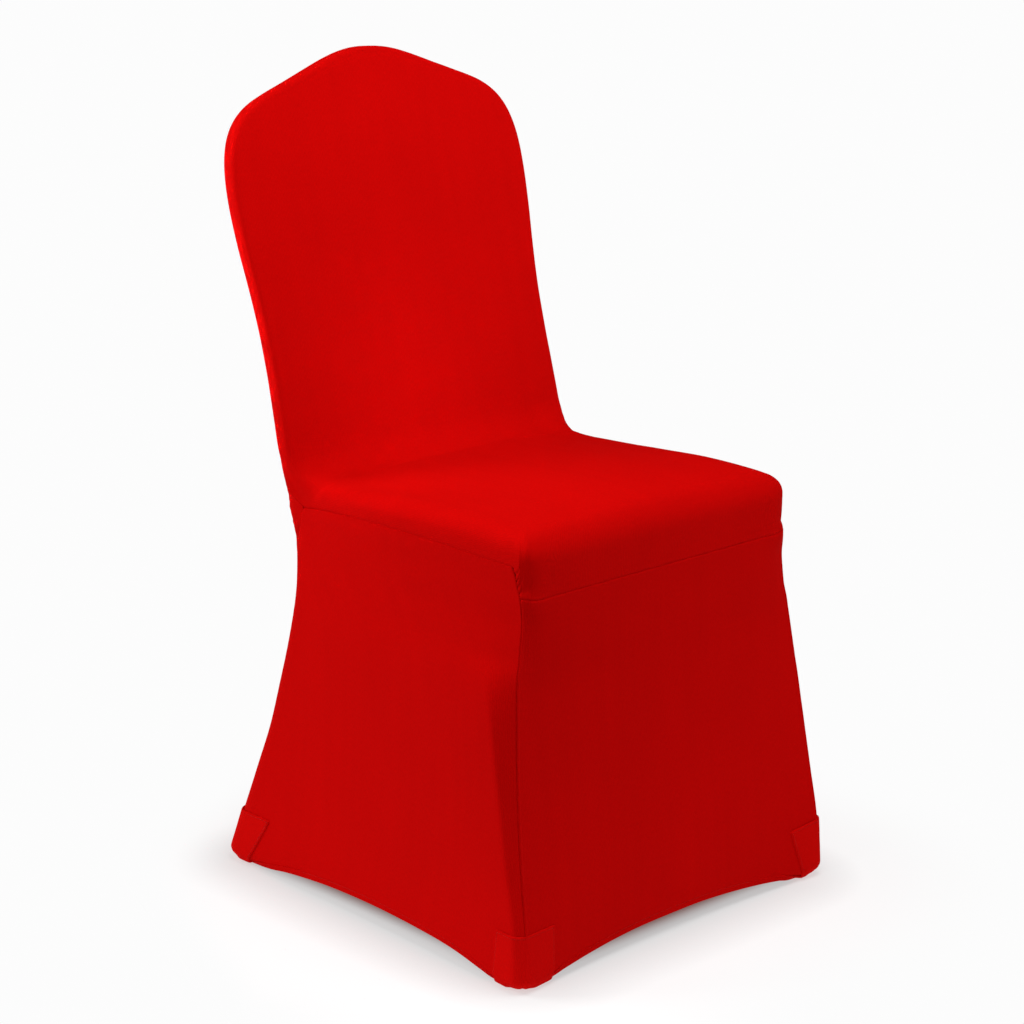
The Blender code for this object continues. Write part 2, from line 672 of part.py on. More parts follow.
def build():
    for item in list(bpy.data.objects):
        bpy.data.objects.remove(item)
    upper = shoulder_ribs()
    around = fold_ribs()
    lower = seat_ribs()
    main = [r[0] for r in upper] + around + lower

    side = [around[-1][-1]] + [r[-1] for r in lower[:10]]
    descent = [r[-1] for r in lower[9:13]]
    front = [r[-1] for r in lower[12:]]
    back = []
    for k, (row, along, normal) in enumerate(upper):
        spine_z = lerp(0.915, 0.505, (k / (len(upper) - 1.0)) ** 1.6)
        back.append((row[-1], along, normal, spine_z))
    turn = []
    for k, row in enumerate(around):
        seam = row[-1]
        plane = look_up(BACKREST, seam.z, 2) + look_up(BACKREST, seam.z, 3)
        share = smooth((k + 1.0) / len(around))
        turn_x = lerp(seam.x - 0.0005, REAR_CORNER[0][5], share)
        turn.append((seam, lerp(plane, REAR_CORNER[0][4], share), turn_x))
    seams = {"side": side, "descent": descent, "front": front, "back": back, "fold": turn}
    side_rows = side_skirt(seams)
    front_rows = front_skirt(seams, side_rows)
    back_rows = back_panel(seams, side_rows)

    cloth = {name: knit("red_knit_" + name, colour) for name, colour in COLOURS.items()}
    sheets = []

    def both(name, material, rows, flip=False, hem=False):
        sheet = Sheet(name, material, hem)
        sheet.add(rows, flip=flip)
        sheet.add(rows, mirrored=True, flip=flip)
        sheets.append(sheet)

    def pair(name, material, shapes, flip=False, hem=False):
        for rows, suffix, mirrored in zip(shapes, ("left", "right"), (True, False)):
            sheet = Sheet(name + "_" + suffix, material, hem)
            sheet.add(rows, mirrored=mirrored, flip=flip)
            sheets.append(sheet)

    both("main_panel", cloth["main"], main)
    both("back_panel", cloth["back"], back_rows, flip=True, hem=True)
    both("front_skirt", cloth["front"], front_rows, flip=True, hem=True)
    pair("side_skirt", cloth["side"], (side_rows, side_rows), flip=True, hem=True)
    cups = (front_pocket(0.815, 0.812), front_pocket(0.900, 0.803))
    pair("foot_pocket_front", cloth["pocket"], cups, flip=True)
    pair("foot_pocket_rear", cloth["pocket"], (rear_pocket(), rear_pocket()))

    shared = {}
    for sheet in sheets:
        sheet.finish_surface()
        for i in sheet.inset:
            p = sheet.points[i]
            key = (round(p.x, 5), round(p.y, 5), round(p.z, 5))
            shared[key] = shared.get(key, Vector()) + sheet.normals[i]
    shared = {key: n.normalized() for key, n in shared.items()}
    for sheet in sheets:
        thicken(sheet, shared)


build()
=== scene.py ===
"""Full-length stretch cover for a crown-back banquet chair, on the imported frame.

Nine knitted pieces stand for the nine CAD nodes. Each is a thin sheet with a seam groove, a
turned-up hem or a stitched edge. The tables and the outer surfaces repeat the CAD's own.
"""
import math
import bpy
import numpy as np
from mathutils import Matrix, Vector, noise


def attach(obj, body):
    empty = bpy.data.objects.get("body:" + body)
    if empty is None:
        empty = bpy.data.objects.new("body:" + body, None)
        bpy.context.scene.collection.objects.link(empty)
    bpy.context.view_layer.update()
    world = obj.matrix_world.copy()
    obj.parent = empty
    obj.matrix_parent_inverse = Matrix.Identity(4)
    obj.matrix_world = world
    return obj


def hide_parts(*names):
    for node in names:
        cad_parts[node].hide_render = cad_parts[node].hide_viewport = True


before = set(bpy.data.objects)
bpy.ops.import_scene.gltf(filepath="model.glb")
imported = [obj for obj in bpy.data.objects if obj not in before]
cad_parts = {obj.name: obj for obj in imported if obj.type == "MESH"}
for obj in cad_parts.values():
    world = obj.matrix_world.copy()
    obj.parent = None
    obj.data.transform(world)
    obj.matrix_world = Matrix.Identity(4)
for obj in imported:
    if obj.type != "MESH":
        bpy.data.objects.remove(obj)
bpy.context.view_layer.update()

CLOTH = 0.0007            # thickness of the stretch knit
TOP = 0.9311              # crown peak
ACROSS = 1.006            # breadth as worn, over the breadths listed here
MID_Y = 0.2570            # half way from the front feet to the rear feet

CROWN_ARC = 0.170         # radius of the crown's middle arc
CROWN_ARC_X = 0.057       # half width of that arc
SHOULDER = ((0.148, 0.8889), (0.1951, 0.8722), (0.2171, 0.845), (0.2171, 0.780))
BACK_EDGE = 0.0075        # rounding of the backrest's front edge
BACK_POWER = 3.2          # squareness of that rounding
BACK_BULGE = 0.006        # padding of the backrest's front face
MAIN_TOP = 0.912          # the crown's middle rib leaves the middle line at this height
BACK_TOP = 0.915          # and at this one behind
RIB_FOOT = 0.522          # the backrest's lowest rib leaves it here
FILLET_MID = 0.045        # fold between backrest and seat, at the middle
FILLET_SIDE = 0.039       # and at its ends
FOLD_Z = 0.50             # where it leaves the backrest and reaches the seat, before rounding
FOLD_Y = 0.37
FOLD_FILL = (0.0026, -0.0033, 0.0045)  # padding that fills its ends
SAG_BACK = 0.0025         # how far the seat's edge sags beside the backrest
SAG_MIDDLE = 0.0012       # and half way along
SEAT_INSET = 0.042        # how far in the seat's side rounding starts
SEAT_INSET_BACK = 0.024   # and beside the backrest
SEAT_POWER = 2.7          # squareness of that rounding
FRONT_POWER = 2.2         # and of the valance's
CORNER_INSET_X = 0.1480   # where the rounding starts at the valance's end
SEAT_SIDE = 0.2003        # half width of the seat at the back
SEAT_SIDE_FRONT = 0.2025  # and at the front
SEAT_FRONT = 0.0270       # front face of the valance
SEAT_CORNER = 0.014       # plan radius of the seat's front corners
CORNER_ANGLES = (14.0, 28.0, 42.0, 58.0, 74.0, 90.0)  # ribs round that corner
SEAM_TURN = 42.0          # the corner seam ends at this one
SEAM_HIGH_Y = 0.0475      # upper and lower end of the corner seam beside the valance
SEAM_LOW_Y = 0.0366
VALANCE_ROUND = 0.036
VALANCE_SEAM = 0.4156     # height of the valance's lower seam
FOOT_ROUND = 0.018        # height at which the cloth starts to round under each foot
FOOT_SIDE = 0.60          # it goes in this share of that height on the flat sides
FOOT_DIAGONAL = 1.35      # and this share at the corner
HEM_LOW = 0.0032          # the hem inside the foot pockets
POCKET_OUT = 0.0020       # a foot pocket lies this far outside the skirt
POCKET_TOP = 0.065
FRONT_POCKET_Y = 0.0388   # ends of the pockets along the sides, at the floor
REAR_POCKET_Y = 0.4720
FOOT_X = 0.232            # half width of the front at the floor
POCKET_SHARE_LEFT = 0.815  # and along the front, as a share of the way to the corner seam
POCKET_SHARE_RIGHT = 0.900
FRONT_TURN_HIGH = 14.0    # how sharply the front skirt turns in to its corner seam, top and foot
FRONT_TURN_LOW = 3.4
FOOT_CORE_X = 0.2155      # the cloth under a foot rounds in towards this corner
FRONT_CORE_Y = 0.0215
REAR_CORE_Y = 0.4900
POCKET_WALL = 0.026       # hidden inner wall of a foot pocket
HALF_ROOT = math.sqrt(0.5)
TINY = 1e-6

BACK_RIBS = 20            # ribs on the backrest, then the fold's, then the seat's
FOLD_END = 25             # the last fold rib, where main, side and back panels meet
SIDE_TURN = 9             # among the seat's own ribs: where the side seam turns down
FRONT_TURN = 12           # and the one at the front corner
SIDE_END = FOLD_END + 1 + SIDE_TURN
FRONT_END = FOLD_END + 1 + FRONT_TURN
INSET_STEPS = 16          # steps of a rib from the middle to where it starts to round
ROUND_STEPS = 12          # and round its edge

# backrest: z, half width, y of the front face's edge, thickness
BACKREST = (
    # z,     width,  front,  thick
    (0.430, 0.2080, 0.3840, 0.0182),
    (0.500, 0.2096, 0.3998, 0.0174),
    (0.560, 0.2086, 0.4150, 0.0170),
    (0.620, 0.2073, 0.4303, 0.0170),
    (0.690, 0.2116, 0.4484, 0.0174),
    (0.740, 0.2158, 0.4612, 0.0182),
    (0.780, 0.2171, 0.4710, 0.0188),
    (0.860, 0.2171, 0.4893, 0.0194),
    (0.930, 0.2171, 0.5030, 0.0220),
)
# seat, front to back: y, top at the side, top at the middle, side seam
SEAT = (
    # y,     side,   middle, seam
    (0.030, 0.4742, 0.4836, 0.4480),
    (0.060, 0.4798, 0.4853, 0.4487),
    (0.115, 0.4829, 0.4880, 0.4495),
    (0.178, 0.4817, 0.4867, 0.4512),
    (0.240, 0.4784, 0.4840, 0.4509),
    (0.300, 0.4752, 0.4815, 0.4504),
    (0.345, 0.4733, 0.4800, 0.4483),
    (0.400, 0.4700, 0.4796, 0.4440),
)
# front corner of the skirts: the corner seam, and the crease where the side face begins
FRONT_CORNER = (
    # z,     seam_x, seam_y, crease_x, crease_y, centre_y of the front skirt
    (0.450, 0.2020, 0.0475, 0.2010, 0.1150, 0.0272),
    (0.414, 0.2012, 0.0366, 0.2030, 0.1000, 0.0280),
    (0.360, 0.2062, 0.0345, 0.2165, 0.0770, 0.0266),
    (0.310, 0.2120, 0.0304, 0.2300, 0.0536, 0.0250),
    (0.250, 0.2184, 0.0236, 0.2355, 0.0394, 0.0205),
    (0.190, 0.2240, 0.0157, 0.2372, 0.0284, 0.0139),
    (0.130, 0.2283, 0.0069, 0.2392, 0.0176, 0.0058),
    (0.070, 0.2312, -0.0026, 0.2406, 0.0054, 0.0003),
    (0.000, 0.2322, -0.0080, 0.2424, 0.0020, 0.0000),
)
# rear corner of the skirts: its seam, the side face's offset from it, the rear face and its edge
REAR_CORNER = (
    # z,     seam_x, seam_y, round,  back_y, turn_x
    (0.4446, 0.2000, 0.3860, 0.0003, 0.4135, 0.2052),
    (0.4230, 0.2000, 0.3925, 0.0010, 0.4070, 0.2040),
    (0.3982, 0.2000, 0.3992, 0.0024, 0.4032, 0.1995),
    (0.3570, 0.2000, 0.4017, 0.0046, 0.4063, 0.1954),
    (0.3330, 0.2015, 0.4034, 0.0052, 0.4086, 0.1963),
    (0.2850, 0.2045, 0.4126, 0.0053, 0.4179, 0.1992),
    (0.2330, 0.2095, 0.4240, 0.0053, 0.4293, 0.2042),
    (0.1800, 0.2145, 0.4370, 0.0053, 0.4423, 0.2092),
    (0.1300, 0.2185, 0.4550, 0.0053, 0.4603, 0.2132),
    (0.0770, 0.2212, 0.4768, 0.0053, 0.4821, 0.2159),
    (0.0000, 0.2225, 0.5110, 0.0053, 0.5163, 0.2172),
)
# arched hem edges: height above the floor, by y along the sides
SIDE_HEM = (
    # y,     height
    (0.0400, 0.0032),
    (0.0600, 0.0086),
    (0.1000, 0.0163),
    (0.1500, 0.0201),
    (0.2350, 0.0221),
    (0.3000, 0.0208),
    (0.3500, 0.0177),
    (0.4000, 0.0122),
    (0.4300, 0.0066),
    (0.4550, 0.0032),
)
# and by the share of the way from the middle to the corner seam, along the front and the back
END_HEM = (
    # share, height
    (0.00, 0.0202),
    (0.20, 0.0197),
    (0.40, 0.0172),
    (0.60, 0.0128),
    (0.80, 0.0062),
    (0.90, 0.0032),
)
# main-to-back seam round the fold, from the rear edge of the backrest to the seat's side seam
FOLD_SEAM = (
    # x,      y,      z
    (0.2080, 0.4148, 0.4935),
    (0.2080, 0.4106, 0.4790),
    (0.2078, 0.4056, 0.4687),
    (0.2070, 0.3998, 0.4592),
    (0.2035, 0.3930, 0.4517),
    (0.2000, 0.3860, 0.4446),
)


# ---- small helpers
def lerp(a, b, t):
    return a + (b - a) * t


def smooth(t):
    t = min(1.0, max(0.0, t))
    return t * t * (3.0 - 2.0 * t)


def arc_drop(radius, run):
    """How far a circle's arc falls away from its tangent."""
    return radius - math.sqrt(max(0.0, radius ** 2 - run ** 2))


def soft_max(a, b, blend):
    """The larger of two sizes, rounded over where they are close."""
    return 0.5 * (a + b + math.hypot(a - b, blend))


def look_up(table, key, column):
    """Column of a table at any value of its first column, on a smooth curve through the rows."""
    rows = sorted(table)
    key = min(rows[-1][0], max(rows[0][0], key))
    i = max(k for k in range(len(rows) - 1) if rows[k][0] <= key)
    a, b = rows[i], rows[i + 1]
    before = rows[max(i - 1, 0)]
    after = rows[min(i + 2, len(rows) - 1)]
    span = b[0] - a[0]
    t = (key - a[0]) / span
    slope_a = (b[column] - before[column]) / (b[0] - before[0]) * span
    slope_b = (after[column] - a[column]) / (after[0] - a[0]) * span
    h = t * t * (3.0 - 2.0 * t)
    return lerp(a[column], b[column], h) + t * (1 - t) * ((1 - t) * slope_a - t * slope_b)


def row_at(table, key):
    """All the other columns of a table at a value of its first."""
    return [look_up(table, key, c) for c in range(1, len(table[0]))]


def bezier(points, t):
    points = [Vector(p) for p in points]
    while len(points) > 1:
        points = [p.lerp(q, t) for p, q in zip(points, points[1:])]
    return points[0]


def power_round(t, power):
    """Point of a quarter superellipse: (how far out, how far down), both 0 to 1."""
    angle = 0.5 * math.pi * t
    return math.sin(angle) ** (2.0 / power), 1.0 - math.cos(angle) ** (2.0 / power)


# ---- backrest, fold and seat
def crown_outline(x):
    """Height of the crown at a half width up to the start of the rounded shoulder."""
    if x <= CROWN_ARC_X:
        return TOP - arc_drop(CROWN_ARC, x)
    arc_end = TOP - arc_drop(CROWN_ARC, CROWN_ARC_X)
    return lerp(arc_end, SHOULDER[0][1], (x - CROWN_ARC_X) / (SHOULDER[0][0] - CROWN_ARC_X))


def backrest_front(x, z):
    width = look_up(BACKREST, z, 1)
    near_top = smooth((TOP - z) / 0.12)
    bulge = BACK_BULGE * max(0.0, 1.0 - (x / width) ** 2) * lerp(0.35, 1.0, near_top)
    return Vector((x, look_up(BACKREST, z, 2) - bulge, z))


def backrest_normal(z):
    lean = (look_up(BACKREST, z + 0.01, 2) - look_up(BACKREST, z - 0.01, 2)) / 0.02
    return Vector((0.0, -1.0, lean)).normalized()


def seat_top(x, y):
    side, middle = look_up(SEAT, y, 1), look_up(SEAT, y, 2)
    return Vector((x, y, lerp(middle, side, min(1.0, (x / SEAT_SIDE)) ** 2)))


def fold(x, t):
    """Backrest-to-seat fold: t 0 on the backrest, 1 on the seat. Returns point and normal."""
    radius = lerp(FILLET_MID, FILLET_SIDE, (x / SEAT_SIDE) ** 2)
    up = backrest_normal(FOLD_Z)
    high = backrest_front(x, FOLD_Z)
    level = seat_top(x, FOLD_Y)
    turn = math.acos(up.z)
    reach = radius * math.tan(0.5 * turn)
    slope = Vector((0.0, up.z, -up.y))
    corner = high + slope * ((level.z - high.z) / slope.z)
    start = corner + slope * reach
    centre = start + up * radius
    angle = turn * t
    normal = Vector((0.0, -math.sin(turn - angle), math.cos(turn - angle)))
    return centre - normal * radius, normal


def seat_side(y):
    return lerp(SEAT_SIDE_FRONT, SEAT_SIDE, smooth((y - 0.03) / 0.25))


def seat_inset(y):
    return lerp(SEAT_INSET, SEAT_INSET_BACK, smooth((y - 0.22) / 0.14))


def rib(inset, outer, corner, seam, down, power, surface):
    """One rib of the main panel: spine to inset on the surface, rounded edge, then to the seam."""
    row = [surface(k / INSET_STEPS) for k in range(INSET_STEPS + 1)]
    across = outer - inset
    across -= down * across.dot(down)
    depth = (outer - inset).dot(down)
    for k in range(1, ROUND_STEPS + 1):
        out, drop = power_round(k / ROUND_STEPS, power)
        row.append(inset + across * out + down * (depth * drop))
    row += [bezier((outer, corner, seam), t) for t in (0.2, 0.4, 0.6, 0.8)]
    return row + [seam]


def spine_height(top, share):
    """Where a rib of the backrest leaves the middle line."""
    return lerp(top, RIB_FOOT, share ** 1.6)


def backrest_rib(spine_z, edge, outward):
    """Rib of the backrest that ends at an outline point (x, z), rounding along outward (x, z)."""
    out = Vector((outward[0], 0.0, outward[1])).normalized()
    inset_x = edge[0] - out.x * BACK_EDGE
    inset_z = edge[1] - out.z * BACK_EDGE
    inset = backrest_front(inset_x, inset_z)
    normal = backrest_normal(inset_z)
    along = out - normal * out.dot(normal)
    thick = look_up(BACKREST, inset_z, 3)
    outer = inset + along * BACK_EDGE - normal * BACK_EDGE
    ridge = 0.0018 * smooth((inset_z - 0.80) / 0.08)
    corner = inset + along * (BACK_EDGE + 0.6 * ridge) - normal * (thick - 0.0005)
    seam = inset + along * (BACK_EDGE - 0.0013 + ridge) - normal * (thick - 0.0012)

    def surface(t):
        return backrest_front(inset_x * t, lerp(spine_z, inset_z, t))
    return rib(inset, outer, corner, seam, -normal, BACK_POWER, surface), along, normal


def shoulder_ribs():
    """Ribs over the crown and round the shoulder, then down the backrest's side."""
    points = [(x, crown_outline(x)) for x in (0.0, 0.019, 0.038, 0.057, 0.088, 0.119)]
    points += [bezier([(x, z, 0.0) for x, z in SHOULDER], k / 7.0).xy for k in range(8)]
    points += [(look_up(BACKREST, z, 1), z) for z in (0.735, 0.69, 0.64, 0.59, 0.54, 0.505)]
    ribs = []
    for k, (x, z) in enumerate(points):
        before = points[k - 1] if k else (-points[1][0], points[1][1])
        after = points[min(k + 1, len(points) - 1)]
        outward = (-(after[1] - before[1]), after[0] - before[0])
        ribs.append(backrest_rib(spine_height(MAIN_TOP, k / (len(points) - 1.0)), (x, z), outward))
    return ribs


def fold_ribs():
    ribs = []
    back_width = look_up(BACKREST, FOLD_Z, 1)
    for k, seam in enumerate(FOLD_SEAM):
        t = (k + 0.5) / len(FOLD_SEAM)
        share = smooth((k + 0.6) / len(FOLD_SEAM))
        inset_x = lerp(back_width - BACK_EDGE, SEAT_SIDE - SEAT_INSET_BACK, share)
        inset, normal = fold(inset_x, t)
        seam = Vector(seam)
        down = Vector((0.0, seam.y - inset.y, seam.z - inset.z)).normalized()
        down = (down * 0.6 - normal * 0.4).normalized()
        depth = (seam - inset).dot(down)
        wide = lerp(back_width, SEAT_SIDE, share)
        outer = inset + down * depth * lerp(0.55, 0.86, share)
        outer.x = wide
        corner = outer.lerp(seam, 0.5)
        corner.x = lerp(max(wide, seam.x), corner.x, share)
        ribs.append(rib(inset, outer, corner, seam, down, lerp(BACK_POWER, SEAT_POWER, share),
                        lambda s, t=t, x=inset_x: fold(x * s, t)[0]))
    return ribs


def seat_ribs():
    """Ribs down the seat's side, round its front corner and along the valance."""
    ribs = []
    down = Vector((0.0, 0.0, -1.0))
    side_ys = (0.358, 0.330, 0.290, 0.245, 0.200, 0.155, 0.115, 0.085, 0.0640, SEAM_HIGH_Y)
    stops = [("side", y) for y in side_ys]
    stops += [("corner", angle) for angle in CORNER_ANGLES]
    stops += [("front", x) for x in (0.160, 0.120, 0.080, 0.040, 0.0)]
    centre = (SEAT_SIDE_FRONT - SEAT_CORNER, SEAT_FRONT + SEAT_CORNER)
    for k, (kind, value) in enumerate(stops):
        if kind == "side":
            y = value
            outer = Vector((seat_side(y), y, 0.0))
            inset_x, inset_y = outer.x - seat_inset(y), soft_max(y, 0.066, 0.012)
            seam = Vector((outer.x - 0.0002, y, look_up(SEAT, y, 3)))
            spine_y, power = soft_max(y, 0.1015 + 0.2 * y, 0.030), SEAT_POWER
        else:
            angle = value if kind == "corner" else 90.0
            cos, sin = math.cos(math.radians(angle)), math.sin(math.radians(angle))
            x = centre[0] + SEAT_CORNER * cos if kind == "corner" else value
            outer = Vector((x, centre[1] - SEAT_CORNER * sin, 0.0))
            turn, drop = smooth(angle / 90.0), smooth(angle / SEAM_TURN)
            if kind == "corner":
                inset_x = lerp(0.1600, CORNER_INSET_X, turn)
            else:
                inset_x = x * CORNER_INSET_X / centre[0]
            inset_y = lerp(0.0675, SEAT_FRONT + VALANCE_ROUND, turn)
            seam_z = lerp(look_up(SEAT, SEAM_HIGH_Y, 3), VALANCE_SEAM, drop)
            seam_z -= 0.0026 * smooth((k - FRONT_TURN) / 4.0)
            seam = Vector((outer.x, outer.y + 0.0012 * drop, seam_z))
            if kind == "corner" and angle <= SEAM_TURN:
                seam.x = lerp(outer.x, look_up(FRONT_CORNER, 0.414, 1), drop)
                seam.y = lerp(SEAM_HIGH_Y, SEAM_LOW_Y, angle / SEAM_TURN)
            spine_y = lerp(0.1135, 0.080, (k - SIDE_TURN) / 11.0)
            power = lerp(SEAT_POWER, FRONT_POWER, turn)
        inset = seat_top(inset_x, inset_y)
        depth = inset.z - look_up(SEAT, max(outer.y, 0.03), 3) - 0.0040
        outer.z = inset.z - depth
        corner = outer.lerp(seam, 0.5)
        ribs.append(rib(inset, outer, corner, seam, down, power,
                        lambda s, a=inset_x, b=inset_y, c=spine_y: seat_top(a * s, lerp(c, b, s))))
    return ribs


# ---- skirts
def tucked(point, radius=FOOT_ROUND - POCKET_OUT):
    """The same place after the cloth has rounded in under the nearest foot."""
    core = Vector((min(point.x, FOOT_CORE_X), point.y, point.z))
    if point.y < 0.25:
        core.y = max(point.y, FRONT_CORE_Y)
    else:
        core.x = min(point.x, FOOT_CORE_X - 0.012)
        core.y = min(point.y, REAR_CORE_Y)
    if (core - point).length < TINY:
        return point
    inward = (core - point).normalized()
    reach = lerp(FOOT_SIDE, FOOT_DIAGONAL, 2.0 * abs(inward.x * inward.y))
    return point + inward * (reach * arc_drop(radius, max(0.0, FOOT_ROUND - point.z)))


def rear_radius(rounding):
    """Radius of the rear corner's quarter circle, from how far it stands in from its corner."""
    return rounding / (1.0 - HALF_ROOT)


def side_x(y, z):
    """Half width of the side skirt at a place on it, band and rear rounding included."""
    seam_x, seam_y, crease_x, crease_y, _ = row_at(FRONT_CORNER, z)
    rear_x, rear_y, rounding = row_at(REAR_CORNER, z)[:3]
    low = smooth((0.45 - z) / 0.45)
    t = (y - crease_y) / (rear_y - crease_y)
    hollow = 0.0055 * low ** 2 * max(0.0, 4.0 * t * (1.0 - t))
    face = lerp(crease_x, rear_x + rounding, t) - hollow
    band = lerp(seam_x, crease_x, (y - seam_y) / (crease_y - seam_y))
    blend = 0.0003 + 0.0015 * smooth((0.4 - z) / 0.1)
    blend += 0.0120 * smooth((0.42 - z) / 0.04) * smooth((z - 0.326) / 0.026)
    front = 0.5 * (face + band - math.sqrt((face - band) ** 2 + blend ** 2))
    if rounding <= 0.0004:
        return front
    radius = rear_radius(rounding)
    return front - arc_drop(radius, max(0.0, y - (rear_y - radius * HALF_ROOT)))


def hem_rise(table, place):
    """How far an arched hem is above its lowest point."""
    return max(0.0, look_up(table, place, 1) - HEM_LOW)


def front_y(share, z, power):
    """Front skirt's face at a share of the way from its middle to the corner seam."""
    middle = look_up(FRONT_CORNER, z, 5) + 0.004 * smooth((0.12 - z) / 0.12) * (1.0 - share ** 2)
    return lerp(middle, look_up(FRONT_CORNER, z, 2), share ** power)


# ---- fine grids
# A grid is an array (rows, columns, 5): x, y, z, and the cloth coordinates u, v in metres.
SPACING = 0.0050
FINE_SPACING = 0.0009     # round the valance's corner
SEAM_STEPS = (0.0, 0.0003, 0.0006, 0.0010, 0.0014, 0.0018, 0.0024, 0.0034, 0.0048, 0.0066, 0.0090)
HEM_STEPS = (0.0, 0.0014, 0.0030, 0.0045, 0.0060, 0.0065, 0.0070, 0.0075, 0.0080, 0.0095,
             0.0120, 0.0160)
HEM_LANE = 6              # the topstitching runs along this step above the hem
LANE_END = 6              # and stops this many columns before a seam
HEM_ROLL = 0.0008         # radius of the hem's turn
HEM_TURN = 0.0070         # height of the turned-up layer
EDGE_STEPS = (0.0, 0.0006, 0.0012, 0.0018, 0.0025, 0.0032, 0.0042, 0.0056, 0.0075)
EDGE_LANE = 4
POCKET_SPACING = 0.0022
POCKET_MIDDLE = 8         # the point of its outline where cloth coordinates start
POCKET_STITCHED = 0.014   # its upright stitch lines stop at this height
PATH_STEPS = 36           # steps of a front pocket's outline
SEAM_POINT = 22           # the one that lies on the corner seam
PUCKER_PITCH = 0.0066     # gathers beside the seat's front corner
PUCKER_DEPTH = 0.0014
FOOT_DIP = 0.0024         # a hem is drawn down this far beside a foot pocket
STITCH_PITCH = 0.0032
STITCH_LENGTH = 0.0024
THREAD_RADIUS = 0.00022
FLIP = np.array([-1.0, 1.0, 1.0, -1.0, 1.0])  # a row of a grid, seen in the middle plane


def as_array(rows):
    return np.array([[tuple(p) for p in row] for row in rows])


def ramp(value, start, width):
    """0 up to start and 1 from start + width on. A negative width falls instead."""
    return np.clip((value - start) / width, 0.0, 1.0)


def unit(vectors):
    return vectors / np.maximum(np.linalg.norm(vectors, axis=-1, keepdims=True), 1e-12)


def bell(distance, width):
    return np.exp(-(distance / width) ** 2)


def along(points):
    """Distance from the start of each curve; the curves run down axis 0."""
    step = np.linalg.norm(np.diff(points[..., :3], axis=0), axis=-1)
    return np.concatenate([np.zeros((1,) + step.shape[1:]), np.cumsum(step, axis=0)])


def at_distance(curve, lengths, where):
    """The values of a dense curve at set distances along it."""
    return np.stack([np.interp(where, lengths, values) for values in curve.T], axis=-1)


def resample(points, start=(0.0,), end=(0.0,), spacing=SPACING):
    """Each curve down axis 0 at set distances from both its ends and evenly in between."""
    lengths = along(points)
    count = int(math.ceil((lengths[-1].max() - start[-1] - end[-1]) / spacing)) + 1
    columns = []
    for c in range(points.shape[1]):
        s = lengths[:, c]
        inner = np.linspace(start[-1], s[-1] - end[-1], count + 1)[1:-1]
        where = np.concatenate([start, inner, s[-1] - np.array(end)[::-1]])
        columns.append(at_distance(points[:, c], s, where))
    return np.stack(columns, axis=1)


def resample_across(grid, start=(0.0,), end=(0.0,), spacing=SPACING):
    return np.swapaxes(resample(np.swapaxes(grid, 0, 1), start, end, spacing), 0, 1)


def step_counts(knots, spacing=SPACING, fine=()):
    """How many steps each gap between knots gets; the gaps listed in fine get short ones."""
    gaps = np.linalg.norm(np.diff(knots[..., :3], axis=0), axis=-1).max(axis=1)
    return [max(1, math.ceil(gap / (FINE_SPACING if k in fine else spacing)))
            for k, gap in enumerate(gaps)]


def span(knots, counts):
    """Smooth curves through knots; counts says how many steps each gap gets."""
    gap = np.maximum(np.linalg.norm(np.diff(knots[..., :3], axis=0), axis=-1), TINY)[..., None]
    slope = np.diff(knots, axis=0) / gap
    tangent = np.empty_like(knots)
    tangent[1:-1] = (slope[:-1] * gap[1:] + slope[1:] * gap[:-1]) / (gap[1:] + gap[:-1])
    tangent[0] = 2.0 * slope[0] - tangent[1]
    tangent[-1] = 2.0 * slope[-1] - tangent[-2]
    parts = []
    for k, n in enumerate(counts):
        t = (np.arange(n) / max(n, 1))[:, None, None]
        h = t * t * (3.0 - 2.0 * t)
        bend = (1.0 - t) * tangent[k] * gap[k] - t * tangent[k + 1] * gap[k]
        parts.append(lerp(knots[k], knots[k + 1], h) + t * (1.0 - t) * bend)
    return np.concatenate(parts)


def across_ribs(knots, breaks, fine):
    """Rows through a fan of ribs, mirrored at its two ends. Its seam edge has corners at breaks."""
    inward = along(knots[0])
    near = np.array([1.0 - smooth((inward[-1] - d) / 0.011) for d in inward])[:, None]
    return lerp(fan(knots, (), fine), fan(knots, breaks, fine), near)


def fan(knots, breaks, fine):
    counts = step_counts(knots, SPACING, fine)
    stops = [0, *breaks, len(knots) - 1]
    rows = []
    for a, b in zip(stops, stops[1:]):
        part, some = knots[a:b + 1], counts[a:b]
        if a == 0:
            part, some = np.concatenate([(knots[1] * FLIP)[None], part]), [0] + some
        if b == len(knots) - 1:
            part, some = np.concatenate([part, (knots[-2] * FLIP)[None]]), some + [0]
        rows.append(span(part, some))
    return np.concatenate(rows + [knots[-1:]])


def centre_of(grid):
    return grid.shape[0] // 2, grid.shape[1] // 2


def grid_normals(grid, facing, at=None):
    """Unit normals, on the side that faces the given way at one place, by default the centre."""
    down = np.gradient(grid[..., :3], axis=0)
    over = np.gradient(grid[..., :3], axis=1)
    n = np.cross(down, over)
    n[np.abs(grid[..., 0]) < TINY, 0] = 0.0
    n = unit(n)
    return n if np.dot(n[at or centre_of(grid)], facing) > 0.0 else -n


def raised(grid, relief, facing, at=None):
    """Moves a grid's points along its normals. Returns the normals."""
    normals = grid_normals(grid, facing, at)
    grid[..., :3] += normals * relief[..., None]
    return normals


def seam_relief(distance, position, depth=0.0008, ridge=0.0, width=0.0010):
    """Groove at a seam, the ridge beside it, and the small ripples that its stitches pull."""
    groove = -depth * bell(distance, width) + ridge * bell(distance - 0.0020, 0.0009)
    ripple = 0.5 + 0.5 * np.sin(2.0 * math.pi * position / 0.0071 + 2.0 * np.sin(position * 61.0))
    return groove + 0.00008 * ripple * bell(distance - 0.0031, 0.0017)


